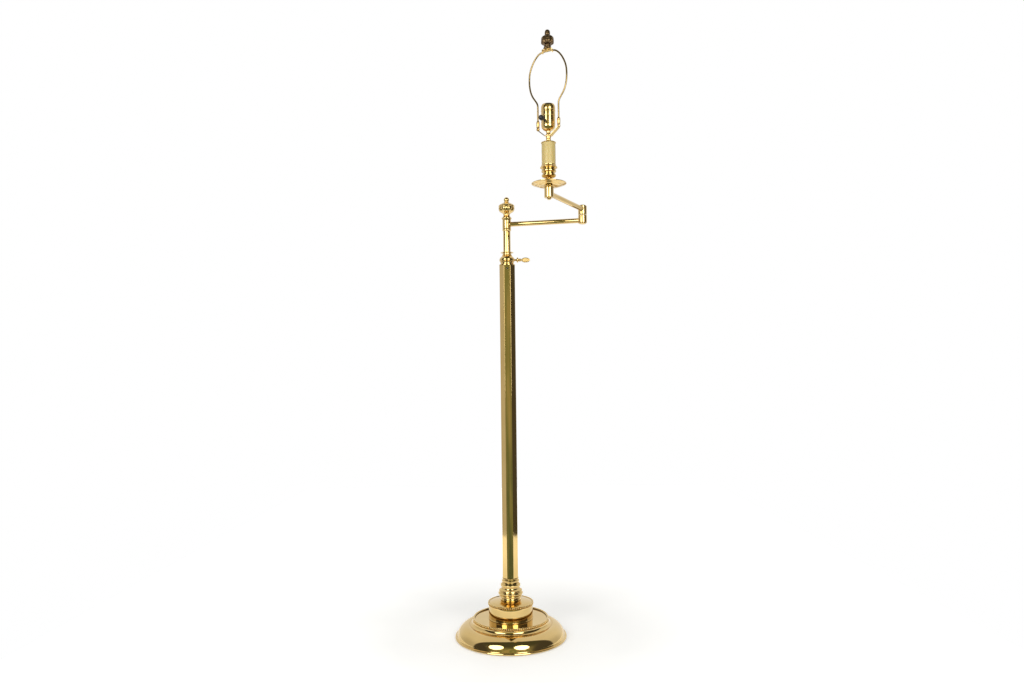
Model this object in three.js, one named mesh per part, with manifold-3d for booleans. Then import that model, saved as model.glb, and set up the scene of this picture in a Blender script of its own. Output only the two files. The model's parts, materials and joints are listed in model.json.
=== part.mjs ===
// Adjustable swing-arm floor lamp: weighted round base, octagonal column, sliding pole,
// two jointed arms, and a candle-style lamp head with socket and harp.
// Units are millimetres. +Z is up and the origin is on the floor on the column's axis.
import * as THREE from 'three';
import { mergeVertices } from 'three/addons/utils/BufferGeometryUtils.js';
import Module from 'manifold-3d';

const wasm = await Module();
wasm.setup();

// ---- Clearances -------------------------------------------------------------------------
const SEAT = 0.3; // between pieces that rest on or hold each other
const RUN = 0.35; // radial, between pieces that turn or slide in each other
const CONTACT = 0.1; // between the clamp shoe and the pole

// ---- Base -------------------------------------------------------------------------------
const BASE_RADIUS = 146;
const SHELL_WALL = 1.6;
const LIP_HEIGHT = 4;
const LIP_WIDTH = 4.5;
const DOME_RADIUS = 33.5; // section of the lower moulding
const COVE_WIDTH = 9;
const COVE_HEIGHT = 9;
const BEAD_RING_WIDTH = 5;
const BEAD_RING_HEIGHT = 7.2;
const PLATFORM_STEP = 4.7; // platform above the ledge that carries the bead ring
const FELT_THICKNESS = 3;
const FELT_PROUD = 1; // felt below the shell's rim
const FELT_MARGIN = 8; // felt edge inside the shell's rim
const WEIGHT_MARGIN = 12;
const WEIGHT_THICKNESS = 20;
const WEIGHT_BOSS_RADIUS = 22;
const HEAD_RADIUS = 11; // hexagonal head of the tie rod
const HEAD_HEIGHT = 6;
const HEAD_ROOM = 5; // around the head in the weight's recess
const BUSHING_RADIUS = 6.5;
const BUSHING_BORE = 3.6;
const BUSHING_LIFT = 3; // above the lip
const BUSHING_SUNK = 1; // behind the rim

// ---- Drum and column foot ---------------------------------------------------------------
const DRUM_RADIUS = 58.4;
const DRUM_HEIGHT = 42;
const DRUM_WALL = 1.4;
const DRUM_CAP_RISE = 4.5;
const DRUM_RING_WIDTH = 3.6;
const DRUM_RING_HEIGHT = 6;
const DRUM_RING_PROUD = 1.6;
const DRUM_CAP_SEAT = 8; // flat top beyond the foot's neck
const FOOT_HEIGHT = 58.5;
const FOOT_NECK_RADIUS = 20.1;

// ---- Column, tie rod and collar ---------------------------------------------------------
const ROD_RADIUS = 5;
const ROD_BORE = 3;
const COLUMN_FLATS = 40.2; // across flats
const COLUMN_WALL = 1.5;
const COLUMN_LENGTH = 818;
const PLUG_HEIGHT = 14;
const ROD_TAIL = 6; // rod above the column plug
const SPIGOT_DEPTH = 24;
const SPIGOT_RADIUS = 18;
const SET_SCREW_RADIUS = 2.4;
const SET_SCREW_DROP = 9; // below the column's top edge
const SET_SCREW_BITE = 3.5; // into the collar's spigot
const COLLAR_HEIGHT = 33;
const COLLAR_PLATE_RADIUS = 21;
const COLLAR_BULGE_RADIUS = 20.5;
const COLLAR_NECK_RADIUS = 11.6;
const THUMB_HEIGHT = 15; // thumb screw above the column's top edge
const COLLAR_DISC_RADIUS = 17.4;
const COLLAR_DISC_THICKNESS = 1.5;
const GUIDE_LENGTH = 30;
const GUIDE_DROP = 45; // guide bush top below the column's top edge

// ---- Thumb screw ------------------------------------------------------------------------
const THUMB_SHAFT_RADIUS = 2.7;
const SHOE_THICKNESS = 3;
const THUMB_COLLAR_START = 25; // distances from the pole axis
const THUMB_BEAD_START = 32;
const THUMB_PADDLE_START = 37;
const THUMB_PADDLE_LENGTH = 23;
const THUMB_PADDLE_WIDTH = 13;
const THUMB_PADDLE_THICKNESS = 3.2;
const THUMB_COLLAR_RADIUS = 6.9;
const THUMB_BEAD_RADIUS = 4.5;

// ---- Pole -------------------------------------------------------------------------------
const POLE_RADIUS = 9.525;
const POLE_WALL = 1.2;
const POLE_SHOWN = 56; // pole above the collar disc in the drawn position
const POLE_TRAVEL_UP = 200;
const POLE_ENGAGEMENT = 150; // pole left in the column at full height
const FOOT_BUSH_LENGTH = 24;
const LOWER_RING_RADIUS = 11.5;
const LOWER_RING_HEIGHT = 5.5;
const SPIGOT_PLUG_LENGTH = 30;
const SWIVEL_PIN_RADIUS = 5;
const SWIVEL_PIN_BORE = 2.6;
const UPPER_RING_RADIUS = 13.3;
const UPPER_RING_HEIGHT = 7.6;
const POLE_FINIAL_RADIUS = 21.75;
const POLE_FINIAL_HEIGHT = 52.5;
const FINIAL_BORE_DEPTH = 10;
const FINIAL_NECK_RADIUS = 10;
const FINIAL_BALL_RADIUS = 7.25;

// ---- Arms -------------------------------------------------------------------------------
const ARM_1_LENGTH = 200; // pole axis to elbow axis
const ARM_2_LENGTH = 195; // elbow axis to lamp axis
const ARM_1_ANGLE = THREE.MathUtils.degToRad(-12.3);
const ELBOW_ANGLE = THREE.MathUtils.degToRad(-106.65); // arm 2 against arm 1
const ARM_RADIUS = 6.15;
const ARM_WALL = 1;
const WIRE_RADIUS = 2;
const WIRE_MARGIN = 4; // wire end short of the tube end
const WIRE_TAIL = 10; // wire below the pole
const BARREL_RADIUS = 11.1;
const BARREL_HEIGHT = 22.4;
const ELBOW_PIN_RADIUS = 4;
const WASHER_THICKNESS = 1;
const CAP_HEIGHT = 2.6;
const CAP_RADIUS = 9;
const PIN_SHORT = 2; // elbow pin below the upper barrel's top
const COPE_REACH = 3; // tube into the barrels before it is coped
const ARM_1_TUBE_LIFT = 11.5; // tube axis above the bottom of its barrels
const ARM_2_TUBE_LIFT = 14.2;
const ELBOW_LIFT = 1.6; // elbow above the underside of the pole's barrel
const POST_LIFT = 4; // lamp barrel above the underside of the elbow's upper barrel
const POST_EXTRA = 2; // lamp barrel longer than the others

// ---- Lamp head --------------------------------------------------------------------------
const NIPPLE_RADIUS = 4;
const NIPPLE_BORE = 2.6;
const POST_SCREW_RADIUS = 5;
const POST_SCREW_HEIGHT = 4.5;
const DISH_RADIUS = 41;
const DISH_RISE = 9.4;
const DISH_FLAT_RADIUS = 14;
const DISH_WALL = 1.3;
const NECK_RADIUS = 6;
const DISH_NECK_HEIGHT = 19.5;
const CUP_HEIGHT = 30;
const CUP_RADIUS = 20.25;
const CUP_WAIST_RADIUS = 14;
const CUP_SEAT_DEPTH = 4;
const CANDLE_RADIUS = 16.35;
const CANDLE_WALL = 1.4;
const CANDLE_HEIGHT = 51; // shown above the cup
const CANDLE_CAP_RADIUS = 17.8;
const CANDLE_CAP_THICKNESS = 3;
const SOCKET_NECK_HEIGHT = 12.5;
const SOCKET_RADIUS = 16.5;
const SOCKET_WALL = 0.9;
const SOCKET_CAP_HEIGHT = 44.5;
const SOCKET_SHELL_HEIGHT = 27;
const LINER_WALL = 0.7;
const SCREW_SHELL_WALL = 0.9;
const SOCKET_BODY_HEIGHT = 20;
const SOCKET_NECK_RADIUS = 5.9; // foot of the socket cap
const CAP_FOOT_HEIGHT = 10.5;
const CAP_BOWL_HEIGHT = 11.5;
const CONTACT_RADIUS = 4;
const CONTACT_HEIGHT = 2.5;
const TERMINAL_RADIUS = 2.6;
const TERMINAL_HEIGHT = 2.2;
const TERMINAL_OFFSET = 8; // screw axis to socket axis
const NIPPLE_TAIL = 6; // inside the socket cap
const KNOB_LIFT = 31; // switch axis above the socket cap's foot
const KNOB_SHAFT_RADIUS = 1.8;
const KNOB_START = 31; // distances from the lamp axis
const KNOB_LENGTH = 12;
const KNOB_RADIUS = 6;
const KNOB_SHAFT_START = 9;

// ---- Harp -------------------------------------------------------------------------------
const SADDLE_WIDTH = 11;
const SADDLE_THICKNESS = 2;
const SADDLE_FLAT = 7; // half of the level part
const SADDLE_RISE = 23;
const HARP_LEG_OFFSET = 27; // leg axis to lamp axis
const HARP_WIDEST = 50.6;
const HARP_HEIGHT = 200; // saddle's top face to the top of the wire
const HARP_WIRE_RADIUS = 2;
const SLEEVE_RADIUS = 3.9;
const SLEEVE_LENGTH = 16;
const SLEEVE_START = 1; // above the leg's end
const PLATE_LENGTH = 24;
const PLATE_WIDTH = 11;
const PLATE_THICKNESS = 2.5;
const STUD_RADIUS = 3.1;
const STUD_HEIGHT = 12;
const HARP_FINIAL_HEIGHT = 45;
const HARP_FINIAL_RADIUS = 15.6;
const HARP_FINIAL_FOOT_RADIUS = 9.7;
const HARP_FINIAL_KNOB_RADIUS = 6.65;

// ---- Facets -----------------------------------------------------------------------------
const WIDE = 24; // sides on the base and drum
const MEDIUM = 16; // sides on rings, barrels and the lamp head
const NARROW = 10; // sides on pins, wires and inner pieces
const WIRE_SIDES = 8;

// ---- Levels and sizes worked out from the values above ----------------------------------
const lipTop = FELT_PROUD + LIP_HEIGHT;
const domeAxisRadius = BASE_RADIUS - LIP_WIDTH - DOME_RADIUS;
const domeTop = FELT_PROUD + DOME_RADIUS;
const ledgeRadius = domeAxisRadius - COVE_WIDTH;
const ledgeLevel = domeTop + COVE_HEIGHT;
const platformLevel = ledgeLevel + PLATFORM_STEP;
const weightEdge = BASE_RADIUS - WEIGHT_MARGIN;
const weightTop = FELT_THICKNESS + SEAT + WEIGHT_THICKNESS;
const bossTop = platformLevel - SHELL_WALL - SEAT;
const rodHole = ROD_RADIUS + SEAT;
const drumFloor = platformLevel + SEAT;
const drumTop = drumFloor + DRUM_HEIGHT;
const drumRingInner = DRUM_RADIUS + DRUM_RING_PROUD - DRUM_RING_WIDTH;
const capLevel = drumTop + DRUM_CAP_RISE;
const footFloor = capLevel + SEAT;
const footTop = footFloor + FOOT_HEIGHT;
const columnFloor = footTop + SEAT;
const columnTop = columnFloor + COLUMN_LENGTH;
const plugTop = columnFloor + PLUG_HEIGHT;
const columnBore = COLUMN_FLATS / 2 - COLUMN_WALL;
const collarFloor = columnTop + SEAT;
const collarTop = collarFloor + COLLAR_HEIGHT;
const collarBore = POLE_RADIUS + RUN;
const thumbLevel = columnTop + THUMB_HEIGHT;
const discTop = collarTop + SEAT + COLLAR_DISC_THICKNESS;
const poleTop = discTop + POLE_SHOWN;
const poleFloor = discTop - POLE_TRAVEL_UP - POLE_ENGAGEMENT;
const lowerRingTop = poleTop + SEAT + LOWER_RING_HEIGHT;
const arm1Level = lowerRingTop + RUN; // underside of the first arm's barrels
const barrelTop = arm1Level + BARREL_HEIGHT;
const upperRingFloor = barrelTop + RUN;
const finialFloor = upperRingFloor + UPPER_RING_HEIGHT + SEAT;
const pinBore = SWIVEL_PIN_RADIUS + RUN;
const elbowBore = ELBOW_PIN_RADIUS + RUN;
const elbowFloor = arm1Level + ELBOW_LIFT + CAP_HEIGHT + SEAT;
const elbowLowerTop = elbowFloor + BARREL_HEIGHT - CAP_HEIGHT;
const washerFloor = elbowLowerTop + SEAT;
const elbowUpperFloor = washerFloor + WASHER_THICKNESS + RUN;
const elbowUpperTop = elbowUpperFloor + BARREL_HEIGHT;
const arm1Axis = arm1Level + ARM_1_TUBE_LIFT;
const arm2Axis = elbowUpperFloor + ARM_2_TUBE_LIFT;
const nippleHole = NIPPLE_RADIUS + SEAT;
const postFloor = elbowUpperFloor + POST_LIFT;
const postTop = postFloor + BARREL_HEIGHT + POST_EXTRA;
const dishFloor = postTop + SEAT;
const dishNeckFloor = dishFloor + DISH_WALL + SEAT;
const cupFloor = dishNeckFloor + DISH_NECK_HEIGHT + SEAT;
const cupTop = cupFloor + CUP_HEIGHT;
const candleFloor = cupTop - CUP_SEAT_DEPTH + SEAT;
const candleTop = cupTop + CANDLE_HEIGHT;
const candleCapFloor = candleTop + SEAT;
const socketNeckFloor = candleCapFloor + CANDLE_CAP_THICKNESS + SEAT;
const saddleFloor = socketNeckFloor + SOCKET_NECK_HEIGHT + SEAT;
const saddleTop = saddleFloor + SADDLE_THICKNESS;
const socketFloor = saddleTop + SEAT;
const socketSeam = socketFloor + SOCKET_CAP_HEIGHT;
const shellFloor = socketSeam + SEAT;
const rimLevel = shellFloor + SOCKET_SHELL_HEIGHT;
const knobLevel = socketFloor + KNOB_LIFT;
const linerRadius = SOCKET_RADIUS - SOCKET_WALL - SEAT;
const bodyRadius = linerRadius - LINER_WALL - SEAT;
const bodyTop = socketSeam - SEAT;
const bodyFloor = bodyTop - SOCKET_BODY_HEIGHT;
const terminalTop = bodyFloor - SEAT;
const screwShellFloor = bodyTop + SEAT;
const screwShellBore = bodyRadius - SCREW_SHELL_WALL; // takes the bulb's 26 mm thread
const legFloor = saddleFloor + SADDLE_RISE + SEAT;
const harpTop = saddleTop + HARP_HEIGHT;
const plateFloor = harpTop + SEAT;
const plateTop = plateFloor + PLATE_THICKNESS;
const harpFinialFloor = plateTop + SEAT;

// ---- Materials --------------------------------------------------------------------------
function finish(color, roughness, metalness) {
  return new THREE.MeshStandardMaterial({ color, roughness, metalness });
}

const polishedBrass = finish(0xcfa45a, 0.12, 1);
const antiqueBronze = finish(0x5f4628, 0.4, 1);
const steel = finish(0xb4b6b8, 0.35, 1);
const castIron = finish(0x3c3c3d, 0.8, 0.6);
const candleIvory = finish(0xe8dbb6, 0.5, 0);
const blackPlastic = finish(0x161616, 0.35, 0);
const nylon = finish(0xdad6c8, 0.55, 0);
const felt = finish(0x2f3a31, 0.95, 0);
const fibre = finish(0x8a6b45, 0.8, 0);
const phenolic = finish(0x2a211b, 0.5, 0);

// ---- Geometry helpers -------------------------------------------------------------------
// A profile lists radius and height pairs, anticlockwise, with radius to the right.
function points(pairs) {
  return pairs.map(([radius, height]) => new THREE.Vector2(radius, height));
}

// A solid of revolution about Z.
function turned(profile, sides = MEDIUM) {
  const geometry = new THREE.LatheGeometry(profile, sides);
  geometry.rotateX(Math.PI / 2);
  return geometry;
}

// A plain ring or tube from one level to another.
function tube(innerRadius, outerRadius, floor, top, sides = MEDIUM) {
  const corners = [
    [innerRadius, floor],
    [outerRadius, floor],
    [outerRadius, top],
    [innerRadius, top],
    [innerRadius, floor],
  ];
  return turned(points(corners), sides);
}

// A plain disc or rod from one level to another.
function rod(radius, floor, top, sides = NARROW) {
  return turned(points([[0, floor], [radius, floor], [radius, top], [0, top]]), sides);
}

// Turns an outer contour, listed upwards, into the closed section of a spun sheet.
function sheetSection(outer, wall) {
  const inner = outer.map((point, index) => {
    const before = outer[Math.max(index - 1, 0)];
    const after = outer[Math.min(index + 1, outer.length - 1)];
    const along = after.clone().sub(before).normalize();
    return new THREE.Vector2(point.x - along.y * wall, point.y + along.x * wall);
  });
  return [...outer, ...inner.reverse(), outer[0].clone()];
}

// A turned section with a bore: the outer contour is listed upwards and starts beside the bore.
function bored(outerPairs, boreRadius, sides = MEDIUM) {
  const floor = outerPairs[0][1];
  const top = outerPairs[outerPairs.length - 1][1];
  const corners = [[boreRadius, floor], ...outerPairs, [boreRadius, top], [boreRadius, floor]];
  return turned(points(corners), sides);
}

// Lays a piece that was turned about Z along +X, with its heights becoming distances.
function alongX(geometry, level) {
  geometry.rotateY(Math.PI / 2);
  geometry.translate(0, 0, level);
  return geometry;
}

function toSolid(geometry) {
  const bare = geometry.clone();
  bare.deleteAttribute('normal');
  bare.deleteAttribute('uv');
  const welded = mergeVertices(bare);
  const source = welded.index.array;
  const corners = [];
  for (let start = 0; start < source.length; start += 3) {
    const [a, b, c] = source.slice(start, start + 3);
    if (a !== b && b !== c && c !== a) {
      corners.push(a, b, c);
    }
  }
  const vertProperties = new Float32Array(welded.attributes.position.array);
  const triVerts = new Uint32Array(corners);
  return new wasm.Manifold(new wasm.Mesh({ numProp: 3, vertProperties, triVerts }));
}

function toGeometry(solid) {
  const mesh = solid.getMesh();
  const geometry = new THREE.BufferGeometry();
  geometry.setAttribute('position', new THREE.BufferAttribute(mesh.vertProperties, 3));
  geometry.setIndex(new THREE.BufferAttribute(mesh.triVerts, 1));
  return geometry;
}

function cut(geometry, ...tools) {
  const left = tools.reduce((solid, tool) => solid.subtract(toSolid(tool)), toSolid(geometry));
  return toGeometry(left);
}

function join(...pieces) {
  const solids = pieces.map(toSolid);
  return toGeometry(solids.reduce((whole, piece) => whole.add(piece)));
}

function add(group, name, geometry, material) {
  const mesh = new THREE.Mesh(geometry, material);
  mesh.name = name;
  group.add(mesh);
  return mesh;
}

// ---- Base -------------------------------------------------------------------------------
function baseShellGeometry() {
  const contour = new THREE.Path();
  const domeStart = Math.asin((lipTop - FELT_PROUD + 3) / DOME_RADIUS);
  contour.moveTo(BASE_RADIUS, FELT_PROUD);
  contour.lineTo(BASE_RADIUS, lipTop);
  contour.absarc(domeAxisRadius, FELT_PROUD, DOME_RADIUS, domeStart, Math.PI / 2, false);
  contour.quadraticCurveTo(ledgeRadius, domeTop, ledgeRadius, ledgeLevel);
  contour.lineTo(ledgeRadius - BEAD_RING_WIDTH - SEAT, ledgeLevel);
  contour.lineTo(ledgeRadius - BEAD_RING_WIDTH - SEAT, platformLevel);
  contour.lineTo(rodHole, platformLevel);
  const shell = turned(sheetSection(contour.getPoints(4), SHELL_WALL), WIDE);
  const cordHole = alongX(rod(BUSHING_RADIUS + SEAT, BASE_RADIUS / 2, BASE_RADIUS + 1), bushingLevel());
  cordHole.rotateZ(Math.PI / 2);
  return cut(shell, cordHole);
}

function bushingLevel() {
  return lipTop + BUSHING_RADIUS + BUSHING_LIFT;
}

function bushingGeometry() {
  const start = weightEdge + 2;
  const end = BASE_RADIUS - BUSHING_SUNK;
  const bushing = alongX(tube(BUSHING_BORE, BUSHING_RADIUS, start, end, NARROW), bushingLevel());
  bushing.rotateZ(Math.PI / 2);
  return bushing;
}

function weightGeometry() {
  const recess = HEAD_RADIUS + HEAD_ROOM;
  const recessTop = FELT_THICKNESS + SEAT + HEAD_HEIGHT + SEAT;
  const corners = [
    [recess, FELT_THICKNESS + SEAT],
    [weightEdge, FELT_THICKNESS + SEAT],
    [weightEdge, FELT_THICKNESS + WEIGHT_THICKNESS / 2],
    [domeAxisRadius, weightTop],
    [WEIGHT_BOSS_RADIUS, weightTop],
    [WEIGHT_BOSS_RADIUS, bossTop],
    [rodHole, bossTop],
    [rodHole, recessTop],
    [recess, recessTop],
    [recess, FELT_THICKNESS + SEAT],
  ];
  return turned(points(corners), WIDE);
}

// A long hollow bolt that clamps the weight, drum, foot and column plug together.
function tieRodGeometry() {
  const floor = FELT_THICKNESS + SEAT;
  const top = plugTop + ROD_TAIL;
  const head = rod(HEAD_RADIUS, floor, floor + HEAD_HEIGHT, 6);
  const bolt = join(head, rod(ROD_RADIUS, floor, top));
  return cut(bolt, rod(ROD_BORE, floor - 1, top + 1));
}

function ringSection(innerRadius, width, floor, height) {
  const middle = floor + height / 2;
  const outer = innerRadius + width;
  const corners = [
    [innerRadius, floor],
    [outer - width / 3, floor],
    [outer, middle - height / 5],
    [outer, middle + height / 5],
    [outer - width / 3, floor + height],
    [innerRadius, floor + height],
    [innerRadius, floor],
  ];
  return turned(points(corners), WIDE);
}

function buildBase(stand) {
  add(stand, 'base_felt', rod(BASE_RADIUS - FELT_MARGIN, 0, FELT_THICKNESS, WIDE), felt);
  add(stand, 'base_shell', baseShellGeometry(), polishedBrass);
  add(stand, 'base_weight', weightGeometry(), castIron);
  add(stand, 'cord_bushing', bushingGeometry(), blackPlastic);
  const beadFloor = ledgeLevel + SEAT;
  const beadInner = ledgeRadius - BEAD_RING_WIDTH;
  const beadRing = ringSection(beadInner, BEAD_RING_WIDTH, beadFloor, BEAD_RING_HEIGHT);
  add(stand, 'base_bead_ring', beadRing, polishedBrass);
  add(stand, 'tie_rod', tieRodGeometry(), steel);
}

// ---- Drum and column foot ---------------------------------------------------------------
function drumGeometry() {
  const seatRadius = drumRingInner - SEAT;
  const seatLevel = drumTop - DRUM_RING_HEIGHT;
  const outer = points([
    [DRUM_RADIUS, drumFloor],
    [DRUM_RADIUS, seatLevel],
    [seatRadius, seatLevel],
    [seatRadius, drumTop],
    [FOOT_NECK_RADIUS + DRUM_CAP_SEAT, capLevel],
    [rodHole, capLevel],
  ]);
  return turned(sheetSection(outer, DRUM_WALL), WIDE);
}

function columnFootGeometry() {
  const neck = FOOT_NECK_RADIUS;
  const outer = [
    [neck + 6, 0],
    [neck + 6, 8.5],
    [neck + 10, 12],
    [neck + 12.4, 17],
    [neck + 12.4, 20],
    [neck + 10.4, 25],
    [neck + 6, 30],
    [neck + 3.6, 33],
    [neck + 5.8, 37],
    [neck + 5.8, 41],
    [neck + 4, 46],
    [neck + 2.5, 51],
    [neck + 1.2, FOOT_HEIGHT - 4],
    [neck, FOOT_HEIGHT],
  ];
  const raised = outer.map(([radius, height]) => [radius, footFloor + height]);
  return bored(raised, rodHole, WIDE);
}

function buildDrum(stand) {
  add(stand, 'base_drum', drumGeometry(), polishedBrass);
  const ringFloor = drumTop - DRUM_RING_HEIGHT + SEAT;
  const ring = ringSection(drumRingInner, DRUM_RING_WIDTH, ringFloor, DRUM_RING_HEIGHT);
  add(stand, 'drum_bead_ring', ring, polishedBrass);
  add(stand, 'column_foot', columnFootGeometry(), polishedBrass);
}

// ---- Column -----------------------------------------------------------------------------
function octagon(flats) {
  const corner = flats / 2 / Math.cos(Math.PI / 8);
  const outline = new THREE.Shape();
  for (let side = 0; side < 8; side += 1) {
    const angle = (side + 0.5) * (Math.PI / 4);
    const x = corner * Math.cos(angle);
    const y = corner * Math.sin(angle);
    if (side === 0) {
      outline.moveTo(x, y);
    } else {
      outline.lineTo(x, y);
    }
  }
  outline.closePath();
  return outline;
}

// A screw hole or screw that enters along +Y from the front of the column.
function frontRod(radius, start, end) {
  const piece = rod(radius, start, end);
  piece.rotateX(Math.PI / 2);
  piece.translate(0, 0, columnTop - SET_SCREW_DROP);
  return piece;
}

function columnGeometry() {
  const outline = octagon(COLUMN_FLATS);
  outline.holes.push(octagon(COLUMN_FLATS - 2 * COLUMN_WALL));
  const column = new THREE.ExtrudeGeometry(outline, { depth: COLUMN_LENGTH, bevelEnabled: false });
  column.translate(0, 0, columnFloor);
  const screwHole = frontRod(SET_SCREW_RADIUS + SEAT, columnBore - 4, COLUMN_FLATS / 2 + 4);
  return cut(column, screwHole);
}

function collarGeometry() {
  const plate = COLLAR_PLATE_RADIUS;
  const bulge = COLLAR_BULGE_RADIUS;
  const neck = COLLAR_NECK_RADIUS;
  const outer = [
    [SPIGOT_RADIUS, collarFloor - SPIGOT_DEPTH],
    [SPIGOT_RADIUS, collarFloor],
    [plate, collarFloor],
    [plate, collarFloor + 3],
    [bulge - 2.5, collarFloor + 4],
    [bulge - 2.5, collarFloor + 9],
    [bulge, collarFloor + 11],
    [bulge, collarFloor + 17],
    [bulge - 3.5, collarFloor + 22],
    [neck + 1.8, collarFloor + 25],
    [neck, collarFloor + 27],
    [neck, collarTop],
  ];
  const body = bored(outer, collarBore);
  const thumbHole = alongX(rod(THUMB_SHAFT_RADIUS + RUN, 5, bulge + 5), thumbLevel);
  const screwHole = frontRod(SET_SCREW_RADIUS + SEAT, SPIGOT_RADIUS - SET_SCREW_BITE - SEAT, COLUMN_FLATS);
  return cut(body, thumbHole, screwHole);
}

function buildColumn(stand) {
  add(stand, 'column', columnGeometry(), polishedBrass);
  const plug = tube(rodHole, columnBore - SEAT, columnFloor, plugTop);
  add(stand, 'column_plug', plug, steel);
  const guideTop = columnTop - GUIDE_DROP;
  const guide = tube(POLE_RADIUS + RUN, columnBore - SEAT, guideTop - GUIDE_LENGTH, guideTop);
  add(stand, 'pole_guide_bush', guide, nylon);
  add(stand, 'collar', collarGeometry(), polishedBrass);
  const disc = tube(collarBore, COLLAR_DISC_RADIUS, collarTop + SEAT, discTop);
  add(stand, 'collar_disc', disc, polishedBrass);
  const screwStart = SPIGOT_RADIUS - SET_SCREW_BITE;
  const screw = frontRod(SET_SCREW_RADIUS, screwStart, COLUMN_FLATS / 2 + 0.4);
  add(stand, 'column_set_screw', screw, steel);
}

// ---- Clamp ------------------------------------------------------------------------------
function paddleGeometry() {
  const outline = new THREE.Shape();
  const halfLength = THUMB_PADDLE_LENGTH / 2;
  outline.absellipse(0, 0, halfLength, THUMB_PADDLE_WIDTH / 2, 0, Math.PI * 2, false, 0);
  const options = { depth: THUMB_PADDLE_THICKNESS, bevelEnabled: false, curveSegments: 10 };
  const paddle = new THREE.ExtrudeGeometry(outline, options);
  paddle.rotateX(Math.PI / 2);
  paddle.translate(THUMB_PADDLE_START + halfLength, THUMB_PADDLE_THICKNESS / 2, thumbLevel);
  return paddle;
}

function thumbScrewGeometry(shaftStart) {
  const neck = THUMB_SHAFT_RADIUS;
  const corners = [
    [0, shaftStart],
    [neck, shaftStart],
    [neck, THUMB_COLLAR_START],
    [THUMB_COLLAR_RADIUS, THUMB_COLLAR_START + 1.5],
    [THUMB_COLLAR_RADIUS, THUMB_COLLAR_START + 3.5],
    [neck, THUMB_COLLAR_START + 5],
    [neck, THUMB_BEAD_START],
    [THUMB_BEAD_RADIUS, THUMB_BEAD_START + 1.5],
    [THUMB_BEAD_RADIUS, THUMB_BEAD_START + 3.5],
    [neck, THUMB_BEAD_START + 5],
    [neck, THUMB_PADDLE_START + 3],
    [0, THUMB_PADDLE_START + 3],
  ];
  return join(alongX(turned(points(corners), NARROW), thumbLevel), paddleGeometry());
}

function buildClamp(lamp) {
  const shoeStart = POLE_RADIUS + CONTACT;
  const shoe = rod(THUMB_SHAFT_RADIUS, shoeStart, shoeStart + SHOE_THICKNESS);
  add(lamp, 'clamp_shoe', alongX(shoe, thumbLevel), polishedBrass);
  const shaftStart = shoeStart + SHOE_THICKNESS + SEAT;
  add(lamp, 'thumb_screw', thumbScrewGeometry(shaftStart), polishedBrass);
}

// ---- Sliding pole -----------------------------------------------------------------------
function swivelSpigotGeometry() {
  const plugRadius = POLE_RADIUS - POLE_WALL - SEAT;
  const outer = [
    [plugRadius, poleTop - SPIGOT_PLUG_LENGTH],
    [plugRadius, poleTop],
    [SWIVEL_PIN_RADIUS, poleTop],
    [SWIVEL_PIN_RADIUS, finialFloor + FINIAL_BORE_DEPTH - SEAT],
  ];
  return bored(outer, SWIVEL_PIN_BORE, NARROW);
}

function poleFinialGeometry() {
  const wide = POLE_FINIAL_RADIUS;
  const neck = FINIAL_NECK_RADIUS;
  const ball = FINIAL_BALL_RADIUS;
  const floor = finialFloor;
  const top = floor + POLE_FINIAL_HEIGHT;
  const corners = [
    [0, floor + FINIAL_BORE_DEPTH],
    [SWIVEL_PIN_RADIUS + SEAT, floor + FINIAL_BORE_DEPTH],
    [SWIVEL_PIN_RADIUS + SEAT, floor],
    [neck, floor],
    [neck, floor + 8],
    [wide - 5, floor + 11.5],
    [wide, floor + 16],
    [wide, floor + 30],
    [wide - 6, floor + 34.5],
    [ball - 1.5, floor + 38],
    [ball, top - 10],
    [ball, top - 6],
    [ball - 3, top - 1.5],
    [0, top],
  ];
  return turned(points(corners));
}

function buildPole(pole) {
  add(pole, 'pole', tube(POLE_RADIUS - POLE_WALL, POLE_RADIUS, poleFloor, poleTop), polishedBrass);
  const bushTop = poleFloor + FOOT_BUSH_LENGTH;
  const bush = tube(POLE_RADIUS + SEAT, columnBore - RUN, poleFloor, bushTop);
  add(pole, 'pole_foot_bush', bush, nylon);
  const ringBore = SWIVEL_PIN_RADIUS + SEAT;
  const lowerRing = tube(ringBore, LOWER_RING_RADIUS, poleTop + SEAT, lowerRingTop);
  add(pole, 'swivel_ring_lower', lowerRing, polishedBrass);
  add(pole, 'swivel_spigot', swivelSpigotGeometry(), steel);
  const ringWidth = UPPER_RING_RADIUS - ringBore;
  const upperRing = ringSection(ringBore, ringWidth, upperRingFloor, UPPER_RING_HEIGHT);
  add(pole, 'swivel_ring_upper', upperRing, polishedBrass);
  add(pole, 'pole_finial', poleFinialGeometry(), polishedBrass);
  const wire = rod(WIRE_RADIUS, poleFloor - WIRE_TAIL, finialFloor, WIRE_SIDES);
  add(pole, 'wire_pole', wire, blackPlastic);
}

// ---- Arms -------------------------------------------------------------------------------
// A tube between two upright barrels of the same radius, coped to fit both.
function armTubeGeometry(length, radius, axisLevel) {
  const start = radius - COPE_REACH;
  const end = length - start;
  const hollow = alongX(tube(ARM_RADIUS - ARM_WALL, ARM_RADIUS, start, end, NARROW), axisLevel);
  const low = axisLevel - ARM_RADIUS * 2;
  const high = axisLevel + ARM_RADIUS * 2;
  const startCope = rod(radius + SEAT, low, high, MEDIUM);
  const endCope = rod(radius + SEAT, low, high, MEDIUM);
  endCope.translate(length, 0, 0);
  return cut(hollow, startCope, endCope);
}

function armWireGeometry(length, axisLevel) {
  const margin = BARREL_RADIUS + WIRE_MARGIN;
  return alongX(rod(WIRE_RADIUS, margin, length - margin, WIRE_SIDES), axisLevel);
}

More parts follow.
